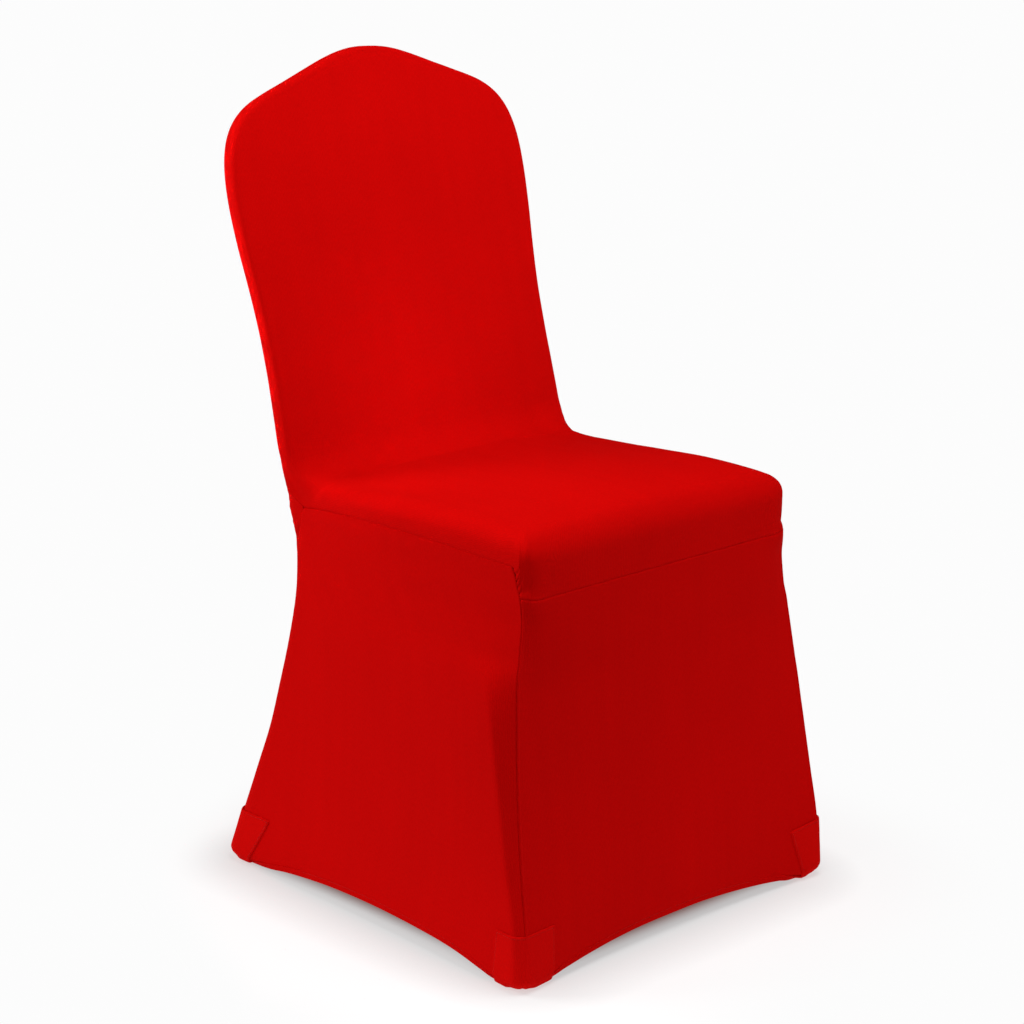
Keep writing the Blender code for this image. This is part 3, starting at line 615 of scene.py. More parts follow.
def evened(rows, passes):
    """Rows averaged with their neighbours; the first and the last stay."""
    for _ in range(passes):
        inner = 0.25 * (rows[:-2] + 2.0 * rows[1:-1] + rows[2:])
        rows = np.concatenate([rows[:1], inner, rows[-1:]])
    return rows


def soften(grid, passes=14, start=0.010):
    """Evens out a mirrored fan of rows away from its seam edge."""
    smoothed = grid
    for _ in range(passes):
        padded = np.concatenate([smoothed[1:2] * FLIP, smoothed, smoothed[-2:-1] * FLIP])
        smoothed = 0.25 * padded[:-2] + 0.5 * padded[1:-1] + 0.25 * padded[2:]
    return lerp(grid, smoothed, ramp(distances(grid)[3], start, 0.018)[..., None])


def eased_corner(grid):
    """Rounds the seat's front corner away from its seam, as cloth pulled over a soft pad does."""
    normals = grid_normals(grid, UP)
    step, reach = 0.0015, 0.04
    weights = bell(np.arange(-20, 21) * step, 0.0165)
    weights /= weights.sum()
    eased = grid[..., :3].copy()
    for c in range(grid.shape[1]):
        s = along(grid[:, c])
        even_s = np.arange(s[0] - reach, s[-1] + reach, step)
        for k in range(3):
            blurred = np.convolve(np.interp(even_s, s, grid[:, c, k]), weights, mode="same")
            eased[:, c, k] = np.interp(s, even_s, blurred)
    inward = distances(grid)[3]
    share = ramp(grid[..., 0], 0.130, 0.030) * ramp(grid[..., 1], 0.095, -0.030)
    share = share * ramp(inward, 0.0008, 0.010) * ramp(inward, 0.055, -0.020)
    grid[..., :3] += normals * (share * np.sum((eased - grid[..., :3]) * normals, axis=-1))[..., None]
    return grid


def hem_relief(height, position):
    """A hem's two layers, the line where they are stitched down, and the dimple of each stitch."""
    dimple = 0.6 + 0.4 * np.cos(2.0 * math.pi * position / STITCH_PITCH)
    lane = -0.00035 * dimple * bell(height - HEM_STEPS[HEM_LANE], 0.0009)
    return lane + 0.00030 * bell(height - 0.0034, 0.0026)


def edge_relief(distance, position):
    """A pocket's folded edge, which curls in to the skirt, and its stitch line."""
    dimple = 0.5 + 0.5 * np.cos(2.0 * math.pi * position / STITCH_PITCH)
    curl = -0.0017 * bell(distance, 0.0008)
    return curl - 0.00050 * dimple * bell(distance - EDGE_STEPS[EDGE_LANE], 0.0009)


def distances(grid):
    """Distances along the cloth from the top, the bottom, the first and the last column."""
    down = along(grid)
    over = along(np.swapaxes(grid, 0, 1)).T
    return down, down[-1] - down, over, over[:, -1:] - over


def turned_hem(grid, normals):
    """Adds the rolled edge and the turned-up layer inside a skirt's last row."""
    down = unit(grid[-1, :, :3] - grid[-2, :, :3])
    out = normals[-1]
    edge = grid[-1].copy()
    edge[:, :3] -= down * HEM_ROLL
    centre = edge[:, :3] - out * HEM_ROLL
    turns = [(centre + HEM_ROLL * (out * math.cos(a) + down * math.sin(a)), HEM_ROLL * a)
             for a in np.radians((35.0, 70.0, 110.0, 145.0, 180.0))]
    turns += [(centre - out * HEM_ROLL - down * up, HEM_ROLL * math.pi + up)
              for up in (0.25 * HEM_TURN, 0.5 * HEM_TURN, 0.75 * HEM_TURN, HEM_TURN)]
    rows = [grid[:-1], edge[None]]
    for places, further in turns:
        rows.append(np.concatenate([places, edge[:, 3:] + (0.0, further)], axis=-1)[None])
    return np.concatenate(rows)


# ---- meshes
def quads(index):
    corners = index[:-1, :-1], index[1:, :-1], index[1:, 1:], index[:-1, 1:]
    return np.stack(corners, axis=-1).reshape(-1, 4)


def vertex_normals(points, faces):
    a, b, c, d = (points[faces[:, k]] for k in range(4))
    flat = np.cross(c - a, d - b)
    n = np.zeros_like(points)
    for k in range(4):
        np.add.at(n, faces[:, k], flat)
    return unit(n)


def unevenness(points, normals, amount):
    """Soft, slow unevenness of cloth that is pulled tight but not perfectly."""
    for size, share in ((0.085, 1.0), (0.034, 0.35)):
        height = [noise.noise(Vector(p) / size + Vector((3.1, 7.7, 1.9))) for p in points]
        points += normals * (np.array(height) * amount * share)[:, None]


def add_object(name, data):
    item = bpy.data.objects.new(name, data)
    bpy.context.scene.collection.objects.link(item)
    return item


def add_mesh(name, points, faces, material):
    mesh = bpy.data.meshes.new(name)
    mesh.from_pydata(points.tolist(), [], faces)
    mesh.polygons.foreach_set("use_smooth", np.ones(len(mesh.polygons), dtype=bool))
    mesh.materials.append(material)
    return add_object(name, mesh)


def as_worn(points):
    """Moves points from the axes of the tables to the frame's."""
    points[:, 0] *= ACROSS
    points[:, 1] -= MID_Y


def cloth_mesh(name, grid, facing, material, uneven, mirrored=None, at=None):
    """Closed thin sheet over a grid. mirrored: None joins both halves, True or False takes one."""
    rows, columns = grid.shape[:2]
    index = np.arange(rows * columns).reshape(rows, columns)
    flat = grid.reshape(-1, 5).copy()
    faces = quads(index)
    if mirrored is None:
        middle = np.abs(flat[:, 0]) < TINY
        new = np.where(middle, np.arange(len(flat)), len(flat) + np.cumsum(~middle) - 1)
        faces = np.concatenate([faces, new[faces][:, ::-1]])
        flat = np.concatenate([flat, (flat * FLIP)[~middle]])
    elif mirrored:
        flat *= FLIP
        faces = faces[:, ::-1]
        facing = np.array(facing) * (-1.0, 1.0, 1.0)
    points, uv = flat[:, :3], flat[:, 3:]
    as_worn(points)
    normals = vertex_normals(points, faces)
    if np.dot(normals[index[at or centre_of(grid)]], facing) < 0.0:
        faces, normals = faces[:, ::-1], -normals
    unevenness(points, normals, uneven)
    normals = vertex_normals(points, faces)
    ends = np.stack([faces, np.roll(faces, -1, axis=1)], axis=-1).reshape(-1, 2)
    key = ends.min(axis=1) * len(points) + ends.max(axis=1)
    _, first, count = np.unique(key, return_index=True, return_counts=True)
    rim = ends[first[count == 1]]
    rim = rim[rim[:, 0] != rim[:, 1]]
    size = len(points)
    walls = np.stack([rim[:, 1], rim[:, 0], rim[:, 0] + size, rim[:, 1] + size], axis=-1)
    everything = np.concatenate([faces, faces[:, ::-1] + size, walls])
    both = np.concatenate([points, points - normals * CLOTH])
    piece = add_mesh(name, both, everything.tolist(), material)
    mesh = piece.data
    layer = mesh.uv_layers.new(name="cloth")
    corners = np.empty(len(mesh.loops), dtype=np.int32)
    mesh.loops.foreach_get("vertex_index", corners)
    layer.data.foreach_set("uv", np.concatenate([uv, uv])[corners].astype(np.float32).ravel())
    mesh.set_sharp_from_angle(angle=math.radians(60.0))
    return piece


def stitch_mesh(name, lanes, material):
    """Threads lying on the cloth along lanes: arrays of points and normals."""
    # along the stitch, height and thickness, as shares of the length and the radius
    stations = ((-0.5, -0.9, 0.5), (-0.3, 0.3, 1.0), (0.0, 0.55, 1.0), (0.3, 0.3, 1.0),
                (0.5, -0.9, 0.5))
    angles = np.linspace(0.0, 2.0 * math.pi, 5, endpoint=False)
    ring, size = len(angles), len(stations) * len(angles)
    stitches = []
    for points, out in lanes:
        s = along(points)
        middles = np.arange(0.6 * STITCH_PITCH, s[-1] - 0.5 * STITCH_PITCH, STITCH_PITCH)
        place = at_distance(points, s, middles)
        t = unit(at_distance(points, s, middles + 0.001) - place)
        n = at_distance(out, s, middles)
        n = unit(n - t * np.sum(n * t, axis=-1, keepdims=True))
        b = np.cross(t, n)
        stitches.append(np.stack([
            place + t * (x * STITCH_LENGTH) + n * (THREAD_RADIUS * (rise + thick * math.cos(a)))
            + b * (THREAD_RADIUS * thick * math.sin(a))
            for x, rise, thick in stations for a in angles], axis=1))
    stitches = np.concatenate(stitches)
    around = np.arange(size).reshape(-1, ring)
    faces = quads(np.concatenate([around, around[:, :1]], axis=1).T).tolist()
    faces += [list(range(ring))[::-1], list(range(size - ring, size))]
    faces = [[k * size + corner for corner in face] for k in range(len(stitches)) for face in faces]
    points = stitches.reshape(-1, 3)
    as_worn(points)
    return add_mesh(name, points, faces, material)


# ---- panels
def main_grid(ribs, outwards):
    """Ribs of the main panel with cloth coordinates: x across, and down the backrest and seat."""
    points = as_array(ribs)
    spine = along(points[:, 0])
    uv = np.zeros(points.shape[:2] + (2,))
    for k, (du, dv) in enumerate(outwards):
        row = points[k]
        uv[k, :, 0] = row[:, 0]
        if k < BACK_RIBS:
            uv[k, :, 1] = spine[k] + 1.03 * (row[0, 2] - row[:, 2])
        else:
            uv[k, :, 1] = spine[k] + (row[0, 1] - row[:, 1])
        rounding = along(row[INSET_STEPS:])
        uv[k, INSET_STEPS:] = uv[k, INSET_STEPS] + np.outer(rounding, (du, dv))
    return np.concatenate([points, uv], axis=-1)


def curve(points, spacing=0.0020):
    """Dense points along a smooth curve through vectors."""
    knots = as_array([[p] for p in points])
    return np.concatenate([span(knots, step_counts(knots, spacing)), knots[-1:]])[:, 0]


def corner_puckers(grid, inward):
    """Short gathers where the valance is eased round the seat's front corner."""
    z = grid[..., 2]
    beat = (z - 0.55 * inward - 0.4135) / PUCKER_PITCH
    trough = bell(beat - np.round(beat), 0.21) * ramp(z, 0.4150, 0.006) * ramp(z, 0.4500, -0.006)
    corner = ramp(grid[..., 0], 0.1780, 0.006) * ramp(grid[..., 1], 0.0540, -0.004)
    return -PUCKER_DEPTH * trough * corner * bell(inward - 0.0045, 0.0075)


def foot_dip(outside):
    """How far a hem is drawn down at a distance outside a foot pocket's edge."""
    return FOOT_DIP * (1.0 - smooth(outside / 0.020 if outside > 0.0 else -outside / 0.008))


def side_rows(seams):
    """Rows down, columns from the rear corner to the front corner seam (right-hand side)."""
    count = 130
    top = curve(seams["side"])
    s = along(top)
    top = at_distance(top, s, np.linspace(0.0, s[-1], count + 1))
    descent = curve(seams["descent"], 0.0018)
    levels = list(np.arange(descent[-1][2] - 0.004, 0.020, -0.0045))
    levels += [0.018, 0.014, 0.0105, 0.0075, 0.005, HEM_LOW]
    first = top[0]
    beyond = [x - side_x(y, z) for x, y, z in top]
    rows = [[Vector(p) for p in top]]
    for j, z_front in enumerate([p[2] for p in descent[1:]] + levels, 1):
        v = (top[-1][2] - z_front) / (top[-1][2] - HEM_LOW)
        on_descent = j < len(descent)
        rear_y = look_up(REAR_CORNER, lerp(first[2], HEM_LOW, v), 2)
        front_end = descent[j][1] if on_descent else look_up(FRONT_CORNER, z_front, 2)
        crease = (look_up(FRONT_CORNER, z_front, 4) - rear_y) / (front_end - rear_y)
        settle = smooth((v - 0.02) / 0.22)
        row = []
        for i in range(count + 1):
            q = i / count
            low = crease * q / 0.8 if q < 0.8 else lerp(crease, 1.0, (q - 0.8) / 0.2)
            high = (top[i][1] - first[1]) / (top[-1][1] - first[1])
            y = lerp(rear_y, front_end, lerp(high, low, settle))
            low = HEM_LOW + hem_rise(SIDE_HEM, y)
            low -= foot_dip(y - FRONT_POCKET_Y) + foot_dip(REAR_POCKET_Y - y)
            z = lerp(top[i][2], low, v)
            x = side_x(y, z) + beyond[i] * (1.0 - smooth((top[i][2] - z) / 0.025))
            row.append(tucked(Vector((x, y, z))))
        if on_descent:
            row[-1] = Vector(descent[j])
        rows.append(row)
    return rows, len(descent) - 1


def front_rows(seams, corner):
    """Rows down, columns from the corner seam to the middle (right-hand half)."""
    count = 64
    top = curve(seams["front"])[::-1]
    shares = [1.0 - (k / count) ** 1.15 for k in range(count + 1)]
    top_at = at_distance(top, top[:, 0], [s * top[-1][0] for s in shares])
    rows = []
    for j, edge in enumerate(corner):
        v = (corner[0].z - edge.z) / (corner[0].z - corner[-1].z)
        width = edge.x if edge.z > 0.30 else look_up(FRONT_CORNER, edge.z, 1)
        row = []
        for share, (_, top_y, top_z) in zip(shares, top_at):
            past = max(POCKET_SHARE_LEFT - share, min(0.0, POCKET_SHARE_RIGHT - share))
            low = corner[-1].z + hem_rise(END_HEM, share) - foot_dip(past * FOOT_X)
            z = lerp(top_z, low, v)
            y = front_y(share, z, lerp(FRONT_TURN_HIGH, FRONT_TURN_LOW, smooth(v / 0.26)))
            above = top_y - front_y(share, top_z, FRONT_TURN_HIGH)
            y += above * (1.0 - smooth((top_z - z) / 0.030))
            row.append(tucked(Vector((share * width, y, z))))
        row[0] = edge.copy()
        rows.append(row if j else [Vector(p) for p in top_at])
    return rows


def back_plane(z):
    """How far back the backrest's rear face is at a height."""
    return look_up(BACKREST, z, 2) + look_up(BACKREST, z, 3)


def back_rows(seams, rear_seam):
    """Ribs from the middle out to the seam: crown, backrest sides, then the rear skirt."""
    inner = [k / 12.0 for k in range(13)]
    turn = (0.25, 0.5, 0.75, 1.0)
    rows = []
    for seam, along_edge, normal, spine_z in seams["back"]:
        inside = seam - along_edge * 0.0065 - normal * 0.0012
        corner = seam + along_edge * 0.0008 - normal * 0.0013
        row = []
        for t in inner:
            p = Vector((0.0, 0.0, spine_z)).lerp(inside, t)
            p.y = lerp(back_plane(p.z), inside.y, smooth(3.0 * t - 2.0))
            row.append(p)
        rows.append(row + [bezier((inside, corner, seam), t) for t in turn])
    lower = [(seam, rear_y, turn_x, 0.0) for seam, rear_y, turn_x in seams["fold"]]
    for seam in rear_seam:
        rear_y, turn_x = row_at(REAR_CORNER, seam.z)[3:]
        lower.append((seam, rear_y, turn_x, smooth((0.455 - seam.z) / 0.05)))
    for seam, rear_y, turn_x, bow in lower:
        row = []
        for t in inner:
            x = (turn_x - 0.0075) * t
            z = seam.z + hem_rise(END_HEM, x / seam.x) * smooth((0.40 - seam.z) / 0.4)
            loose = 0.007 * smooth((z - 0.05) / 0.1) - 0.003 * smooth((0.1 - z) / 0.1)
            shift = look_up(REAR_CORNER, z, 4) - look_up(REAR_CORNER, seam.z, 4)
            y = rear_y + shift + loose * bow * (1.0 - t * t)
            row.append(tucked(Vector((x, y, z))))
        inside = row[-1]
        corner = tucked(Vector((turn_x, rear_y, seam.z)))
        rows.append(row + [bezier((inside, corner, seam), t) for t in turn])
    return rows


def front_path(z, end_low, end_high):
    """Outline of the skirts behind a front foot pocket, from the side round to the front."""
    seam_x, seam_y, _, crease_y, _ = row_at(FRONT_CORNER, z)
    end_y = lerp(FRONT_POCKET_Y, 0.0316, z / POCKET_TOP)
    path = []
    at_crease, at_seam = 0.40, 0.62
    for t in (k / PATH_STEPS for k in range(PATH_STEPS + 1)):
        if t <= at_crease:
            y = lerp(end_y, crease_y, t / at_crease)
        elif t <= at_seam:
            y = lerp(crease_y, seam_y, (t - at_crease) / (at_seam - at_crease))
        if t <= at_seam:
            path.append((side_x(y, z), y))
        else:
            share = lerp(1.0, lerp(end_low, end_high, z / POCKET_TOP), (t - at_seam) / (1.0 - at_seam))
            path.append((seam_x * share, front_y(share, z, FRONT_TURN_LOW)))
    return path


def rear_path(z):
    """Outline of the skirts behind a rear foot pocket, from the side round to the back."""
    rear_x, rear_y, rounding = row_at(REAR_CORNER, z)[:3]
    radius = rear_radius(rounding)
    cx, cy = rear_x - radius * HALF_ROOT, rear_y - radius * HALF_ROOT
    reach = lerp(0.025, 0.043, z / POCKET_TOP)
    path = [(side_x(y, z), y) for y in np.linspace(cy - reach, cy, 12)]
    for angle in np.linspace(0.0, 0.5 * math.pi, 14)[1:]:
        path.append((cx + radius * math.cos(angle), cy + radius * math.sin(angle)))
    return path + [(x, cy + radius) for x in np.linspace(cx, cx - 0.028, 12)[1:]]


def pocket_rows(path, wall, sign, lift):
    """Cup of one sheet: outside the skirts, under the foot, and up inside."""
    levels = (POCKET_TOP, 0.062, 0.058, 0.052, 0.046, 0.040, 0.034, 0.028, 0.023, 0.018, 0.016, 0.014,
              0.012, 0.010, 0.008, 0.0062, 0.0046, 0.0032, 0.0020, 0.0010)
    rows = []
    for z in levels:
        line = np.array(path(z))
        run = np.gradient(line, axis=0)
        out = unit(np.stack([-run[:, 1], run[:, 0]], axis=-1) * sign)
        line = line + unit(evened(out, 3)) * POCKET_OUT
        line = evened(line, 2 if z > 0.012 else 5)
        rises = np.full(len(line), lift * (z / POCKET_TOP) ** 2)
        if sign > 0.0:
            rises *= ramp(np.linspace(1.0, 0.0, len(line)), 0.0, 0.38)
        rows.append([tucked(Vector((x, y, z + rise)), FOOT_ROUND) for (x, y), rise in zip(line, rises)])
    last = rows[-1]
    inner = [bezier(wall, k / (len(last) - 1.0)) for k in range(len(last))]
    for t in (0.03, 0.25, 0.5, 0.75, 0.97):
        under = [p.lerp(q, t) for p, q in zip(last, inner)]
        rows.append([Vector((p.x, p.y, 0.0005)) for p in under])
    for z in (0.003, 0.010, 0.018, POCKET_WALL):
        rows.append([Vector((q.x, q.y, z)) for q in inner])
    return rows


def draped(rows, middle, upright, start, end, spacing=SPACING):
    """Grid from dense rows. Its cloth coordinates run across from a middle column, and down."""
    points = as_array(rows)
    across = along(np.swapaxes(points, 0, 1)).T
    u = across - across[:, middle:middle + 1] + points[:, middle:middle + 1, upright]
    grid = np.concatenate([points, u[..., None], along(points)[..., None]], axis=-1)
    return resample_across(grid, start, end, spacing)


# ---- materials
class Material:
    """A node material and short calls that add its nodes. Sockets and plain numbers both go in."""

    def __init__(self, name):
        self.material = bpy.data.materials.new(name)
        self.material.use_nodes = True
        self.nodes, self.links = self.material.node_tree.nodes, self.material.node_tree.links
        self.shader = self.nodes["Principled BSDF"]

    def node(self, kind, *values, **settings):
        node = self.nodes.new("ShaderNode" + kind)
        for name, value in settings.items():
            setattr(node, name, value)
        for socket, value in zip(node.inputs, values):
            self.put(value, socket)
        return node

    def fill(self, node, values):
        for name, value in values.items():
            self.put(value, node.inputs[name])
        return node

    def put(self, value, socket):
        if isinstance(value, bpy.types.NodeSocket):
            self.links.new(value, socket)
        elif value is not None:
            socket.default_value = value

    def math(self, kind, *values):
        return self.node("Math", *values, operation=kind).outputs[0]

    def vector(self, kind, *values):
        node = self.node("VectorMath", *values, operation=kind)
        return node.outputs["Value" if kind in ("DOT_PRODUCT", "LENGTH") else "Vector"]

    def spread(self, value, low, high, start=0.0, end=1.0, curve="LINEAR"):
        node = self.node("MapRange", value, start, end, low, high, interpolation_type=curve)
        return node.outputs["Result"]

    def tinted(self, colour, shade):
        return self.vector("SCALE", colour, None, None, shade)


def knit(name, colour):
    """Matte warp knit: fine wales with courses across them, irregular yarn and soft dye variation."""
    m = Material(name)
    place = m.node("UVMap", uv_map="cloth").outputs["UV"]

    # x and y of a pattern: its cells in a metre of cloth, across and down
    def scaled(x, y):
        return m.vector("MULTIPLY", place, (x, y, 1.0))

    def speckle(x, y, detail, low=None, high=None):
        pattern = m.node("TexNoise", noise_dimensions="2D")
        values = {"Vector": scaled(x, y), "Scale": 1.0, "Detail": detail}
        level = m.fill(pattern, values).outputs["Fac"]
        return level if low is None else m.spread(level, low, high, 0.3, 0.7)

    def rows(count, direction):
        pattern = m.node("TexWave", bands_direction=direction)
        values = {"Vector": scaled(count, count), "Scale": 1.0, "Distortion": 0.6, "Detail": 1.0,
                  "Detail Scale": 2.0}
        return m.fill(pattern, values).outputs["Fac"]

    yarn = speckle(900.0, 260.0, 2.0, 0.95, 1.05)
    columns = speckle(62.0, 3.2, 1.0, 0.99, 1.01)
    dye = speckle(9.0, 7.0, 2.0, 0.985, 1.015)
    loops = m.math("MULTIPLY_ADD", rows(205.0, "Y"), 0.35, rows(165.0, "X"))
    shade = m.math("MULTIPLY", m.math("MULTIPLY", yarn, columns), dye)
    shade = m.math("MULTIPLY", shade, m.math("MULTIPLY_ADD", loops, 0.08, 0.945))
    relief = m.math("MULTIPLY_ADD", speckle(1400.0, 500.0, 2.0), 0.5, loops)
    bump = m.fill(m.node("Bump", 0.35, 0.00025), {"Height": relief})
    m.fill(m.shader, {
        "Base Color": m.tinted(colour, shade),
        "Normal": bump.outputs["Normal"],
        "Roughness": speckle(240.0, 240.0, 2.0, 0.78, 0.90),
        "Specular IOR Level": 0.01,
        "Sheen Weight": 0.02,
        "Sheen Roughness": 0.45,
        "Sheen Tint": (1.0, 0.06, 0.04, 1.0),
    })
    return m.material


def thread(name, colour):
    """Twisted sewing thread, a shade off the knit."""
    m = Material(name)
    place = m.node("TexCoord").outputs["Object"]
    twist = m.node("TexWave", place, 900.0, bands_direction="DIAGONAL").outputs["Fac"]
    m.fill(m.shader, {
        "Base Color": m.tinted(colour, m.spread(twist, 0.85, 1.12)),
        "Roughness": m.spread(twist, 0.45, 0.65),
        "Specular IOR Level": 0.15,
    })
    return m.material


# ---- studio
def pale_floor():
    """White sweep: it takes the cover's real contact shadow, its glow is painted darker near the cover
    and dim red under it (painted shade and red bounce), and it is evenly white further off.
    """
    m = Material("pale_floor")
    tone = (FLOOR_TONE, FLOOR_TONE, FLOOR_TONE, 1.0)
    m.fill(m.shader, {"Base Color": tone, "Roughness": 0.9, "Specular IOR Level": 0.0})
    place = m.node("NewGeometry").outputs["Position"]

    def toward(x, y):
        return m.vector("DOT_PRODUCT", place, (x, y, 0.0))

    # how far outside the feet, in metres
    beyond = m.vector("SUBTRACT", m.vector("ABSOLUTE", place), FEET)
    beyond = m.vector("LENGTH", m.vector("MAXIMUM", beyond, (0.0, 0.0, 0.0)))
    # the glow is painted darker close to the feet: painted contact shade, over the lamps' real shadow
    level = m.spread(beyond, FLOOR_NEAR_SHADED, FLOOR_MIDDLE, 0.030, 0.130)
    # under the cover the glow is a dim red: painted red bounce light and painted shade
    lit = m.spread(beyond, 0.0, 1.0, 0.006, 0.038, "SMOOTHSTEP")
    glow = m.node("Emission", m.node("MixRGB", lit, PAINTED_RED_BOUNCE, level).outputs[0])
    near = m.node("AddShader", m.shader.outputs["BSDF"], glow.outputs["Emission"])
    seen = m.node("LightPath").outputs["Is Camera Ray"]
    cast = m.spread(toward(0.687, 0.726), 0.30, FLOOR_FAR, -0.75, -0.47, "SMOOTHSTEP")
    strength = m.math("MAXIMUM", cast, m.math("MULTIPLY", seen, FLOOR_FAR))
    far = m.fill(m.node("Emission"), {"Strength": strength})
    behind = m.math("MAXIMUM", m.math("SUBTRACT", toward(-0.57, 0.57), 0.21), 0.0)
    fade = m.spread(m.math("ADD", beyond, behind), 0.0, 1.0, 0.08, 0.34, "SMOOTHERSTEP")
    mix = m.node("MixShader", fade, near.outputs[0], far.outputs["Emission"])
    m.put(mix.outputs["Shader"], m.nodes["Material Output"].inputs["Surface"])
    return m.material


def studio():
    scene = bpy.context.scene
    scene.view_settings.view_transform = "Standard"
    world = bpy.data.worlds.new("studio")
    scene.world = world
    world.use_nodes = True
    nodes, links = world.node_tree.nodes, world.node_tree.links
    background, level = nodes["Background"], nodes.new("ShaderNodeMapRange")
    background.inputs["Color"].default_value = (1.0, 1.0, 1.0, 1.0)
    level.inputs["To Min"].default_value = WORLD
    level.inputs["To Max"].default_value = FLOOR_FAR
    seen = nodes.new("ShaderNodeLightPath").outputs["Is Camera Ray"]
    links.new(seen, level.inputs["Value"])
    links.new(level.outputs["Result"], background.inputs["Strength"])

    corners = np.array([(-1, -1, 0), (1, -1, 0), (1, 1, 0), (-1, 1, 0)]) * FLOOR_SIZE
    floor = add_mesh("floor", corners, [(0, 1, 2, 3)], pale_floor())
    floor.location.z = -0.0004

    for name, place, target, width, height, power, spread in LAMPS:
        data = bpy.data.lights.new(name, "AREA")
        data.shape = "RECTANGLE"
        data.size, data.size_y = width, height
        data.energy = power
        data.spread = math.radians(spread)
        lamp = add_object(name, data)
        lamp.location = place
        lamp.rotation_euler = (Vector(target) - Vector(place)).to_track_quat("-Z", "Y").to_euler()
        lamp.visible_camera = False

    data = bpy.data.cameras.new("camera")
    data.lens, data.sensor_width = CAMERA_LENS, 36.0
    data.clip_end = 200.0
    camera = add_object("camera", data)
    around, up = math.radians(CAMERA_AROUND), math.radians(CAMERA_UP)
    away = Vector((math.sin(around) * math.cos(up), -math.cos(around) * math.cos(up), math.sin(up)))
    camera.location = Vector(CAMERA_TARGET) + away * CAMERA_AWAY
    camera.rotation_euler = (-away).to_track_quat("-Z", "Y").to_euler()
    scene.camera = camera


FLOOR_SIZE = 60.0
FLOOR_TONE = 0.33         # albedo near the cover
FLOOR_NEAR_SHADED = 0.475        # glow beside the cover, a little way off and far off; lower beside the cover as painted contact shade
FLOOR_MIDDLE = 0.745
FLOOR_FAR = 0.975
PAINTED_RED_BOUNCE = (0.13, 0.045, 0.035, 1.0)  # and right under the cover: a dim red glow, painted red bounce light and painted shade
FEET = (0.181, 0.207, 0.0)  # half size of the floor under the cover, where shade and red bounce are painted
WORLD = 0.004
CAMERA_TARGET = (0.0, 0.0055, 0.4260)
CAMERA_AWAY = 3.0762
CAMERA_AROUND = -43.4372  # degrees from the front, and above the level
CAMERA_UP = 15.2152
CAMERA_LENS = 95.84
# name, place, target, width, height, watts, spread in degrees
LAMPS = (
    ("overhead_front", (0.0, -0.62, 2.05), (0.0, 0.0, 0.45), 1.2, 0.9, 22.6, 180.0),
    ("back_left", (-1.5, 1.5, 1.7), (0.0, 0.1, 0.5), 1.0, 1.2, 29.0, 180.0),
    ("left", (-2.6, 0.1, 1.3), (0.0, 0.0, 0.45), 1.6, 1.6, 17.0, 180.0),
    ("front", (0.5, -2.9, 1.5), (0.0, 0.0, 0.5), 1.6, 1.6, 11.5, 180.0),
    ("right_front", (2.4, -1.6, 1.6), (0.0, 0.0, 0.5), 1.4, 1.4, 5.5, 180.0),
    ("rim_left", (-1.8, 1.2, 0.72), (-0.2, 0.2, 0.69), 0.2, 0.3, 0.25, 15.0),
    ("low_back", (0.0, -1.6, 1.5), (-0.02, 0.36, 0.45), 0.2, 0.2, 0.032, 10.0),
)

UP, RIGHT, AHEAD, BEHIND = (0.0, 0.0, 1.0), (1.0, 0.0, 0.0), (0.0, -1.0, 0.0), (0.0, 1.0, 0.0)
POCKET_FACE = (8, 10)     # a row and column on a pocket's outer face
# kind of piece: base colour, which way its middle faces, unevenness
KINDS = {
    "main_panel": ((0.60, 0.0013, 0.0010), (0.0, -0.2, 1.0), 0.00022),
    "back_panel": ((0.58, 0.0013, 0.0010), BEHIND, 0.0003),
    "front_skirt": ((0.58, 0.0012, 0.0010), AHEAD, 0.0003),
    "side_skirt": ((0.59, 0.0012, 0.0010), RIGHT, 0.0003),
    "foot_pocket": ((0.63, 0.0018, 0.0014), RIGHT, 0.0002),
}
# node: cut width, cut length, cut area, what it hangs from
CUT = {
    "main_panel": (0.46, 0.98, 0.321, ()),
    "back_panel": (0.42, 0.98, 0.331, ("main_panel",)),
    "front_skirt": (0.41, 0.40, 0.153, ("main_panel",)),
    "side_skirt_left": (0.42, 0.41, 0.159, ("main_panel",)),
    "side_skirt_right": (0.42, 0.41, 0.159, ("main_panel",)),
    "foot_pocket_front_left": (0.13, 0.085, 0.0073, ("side_skirt_left", "front_skirt")),
    "foot_pocket_front_right": (0.13, 0.085, 0.0073, ("side_skirt_right", "front_skirt")),
    "foot_pocket_rear_left": (0.11, 0.085, 0.0068, ("side_skirt_left", "back_panel")),
    "foot_pocket_rear_right": (0.11, 0.085, 0.0068, ("side_skirt_right", "back_panel")),
}


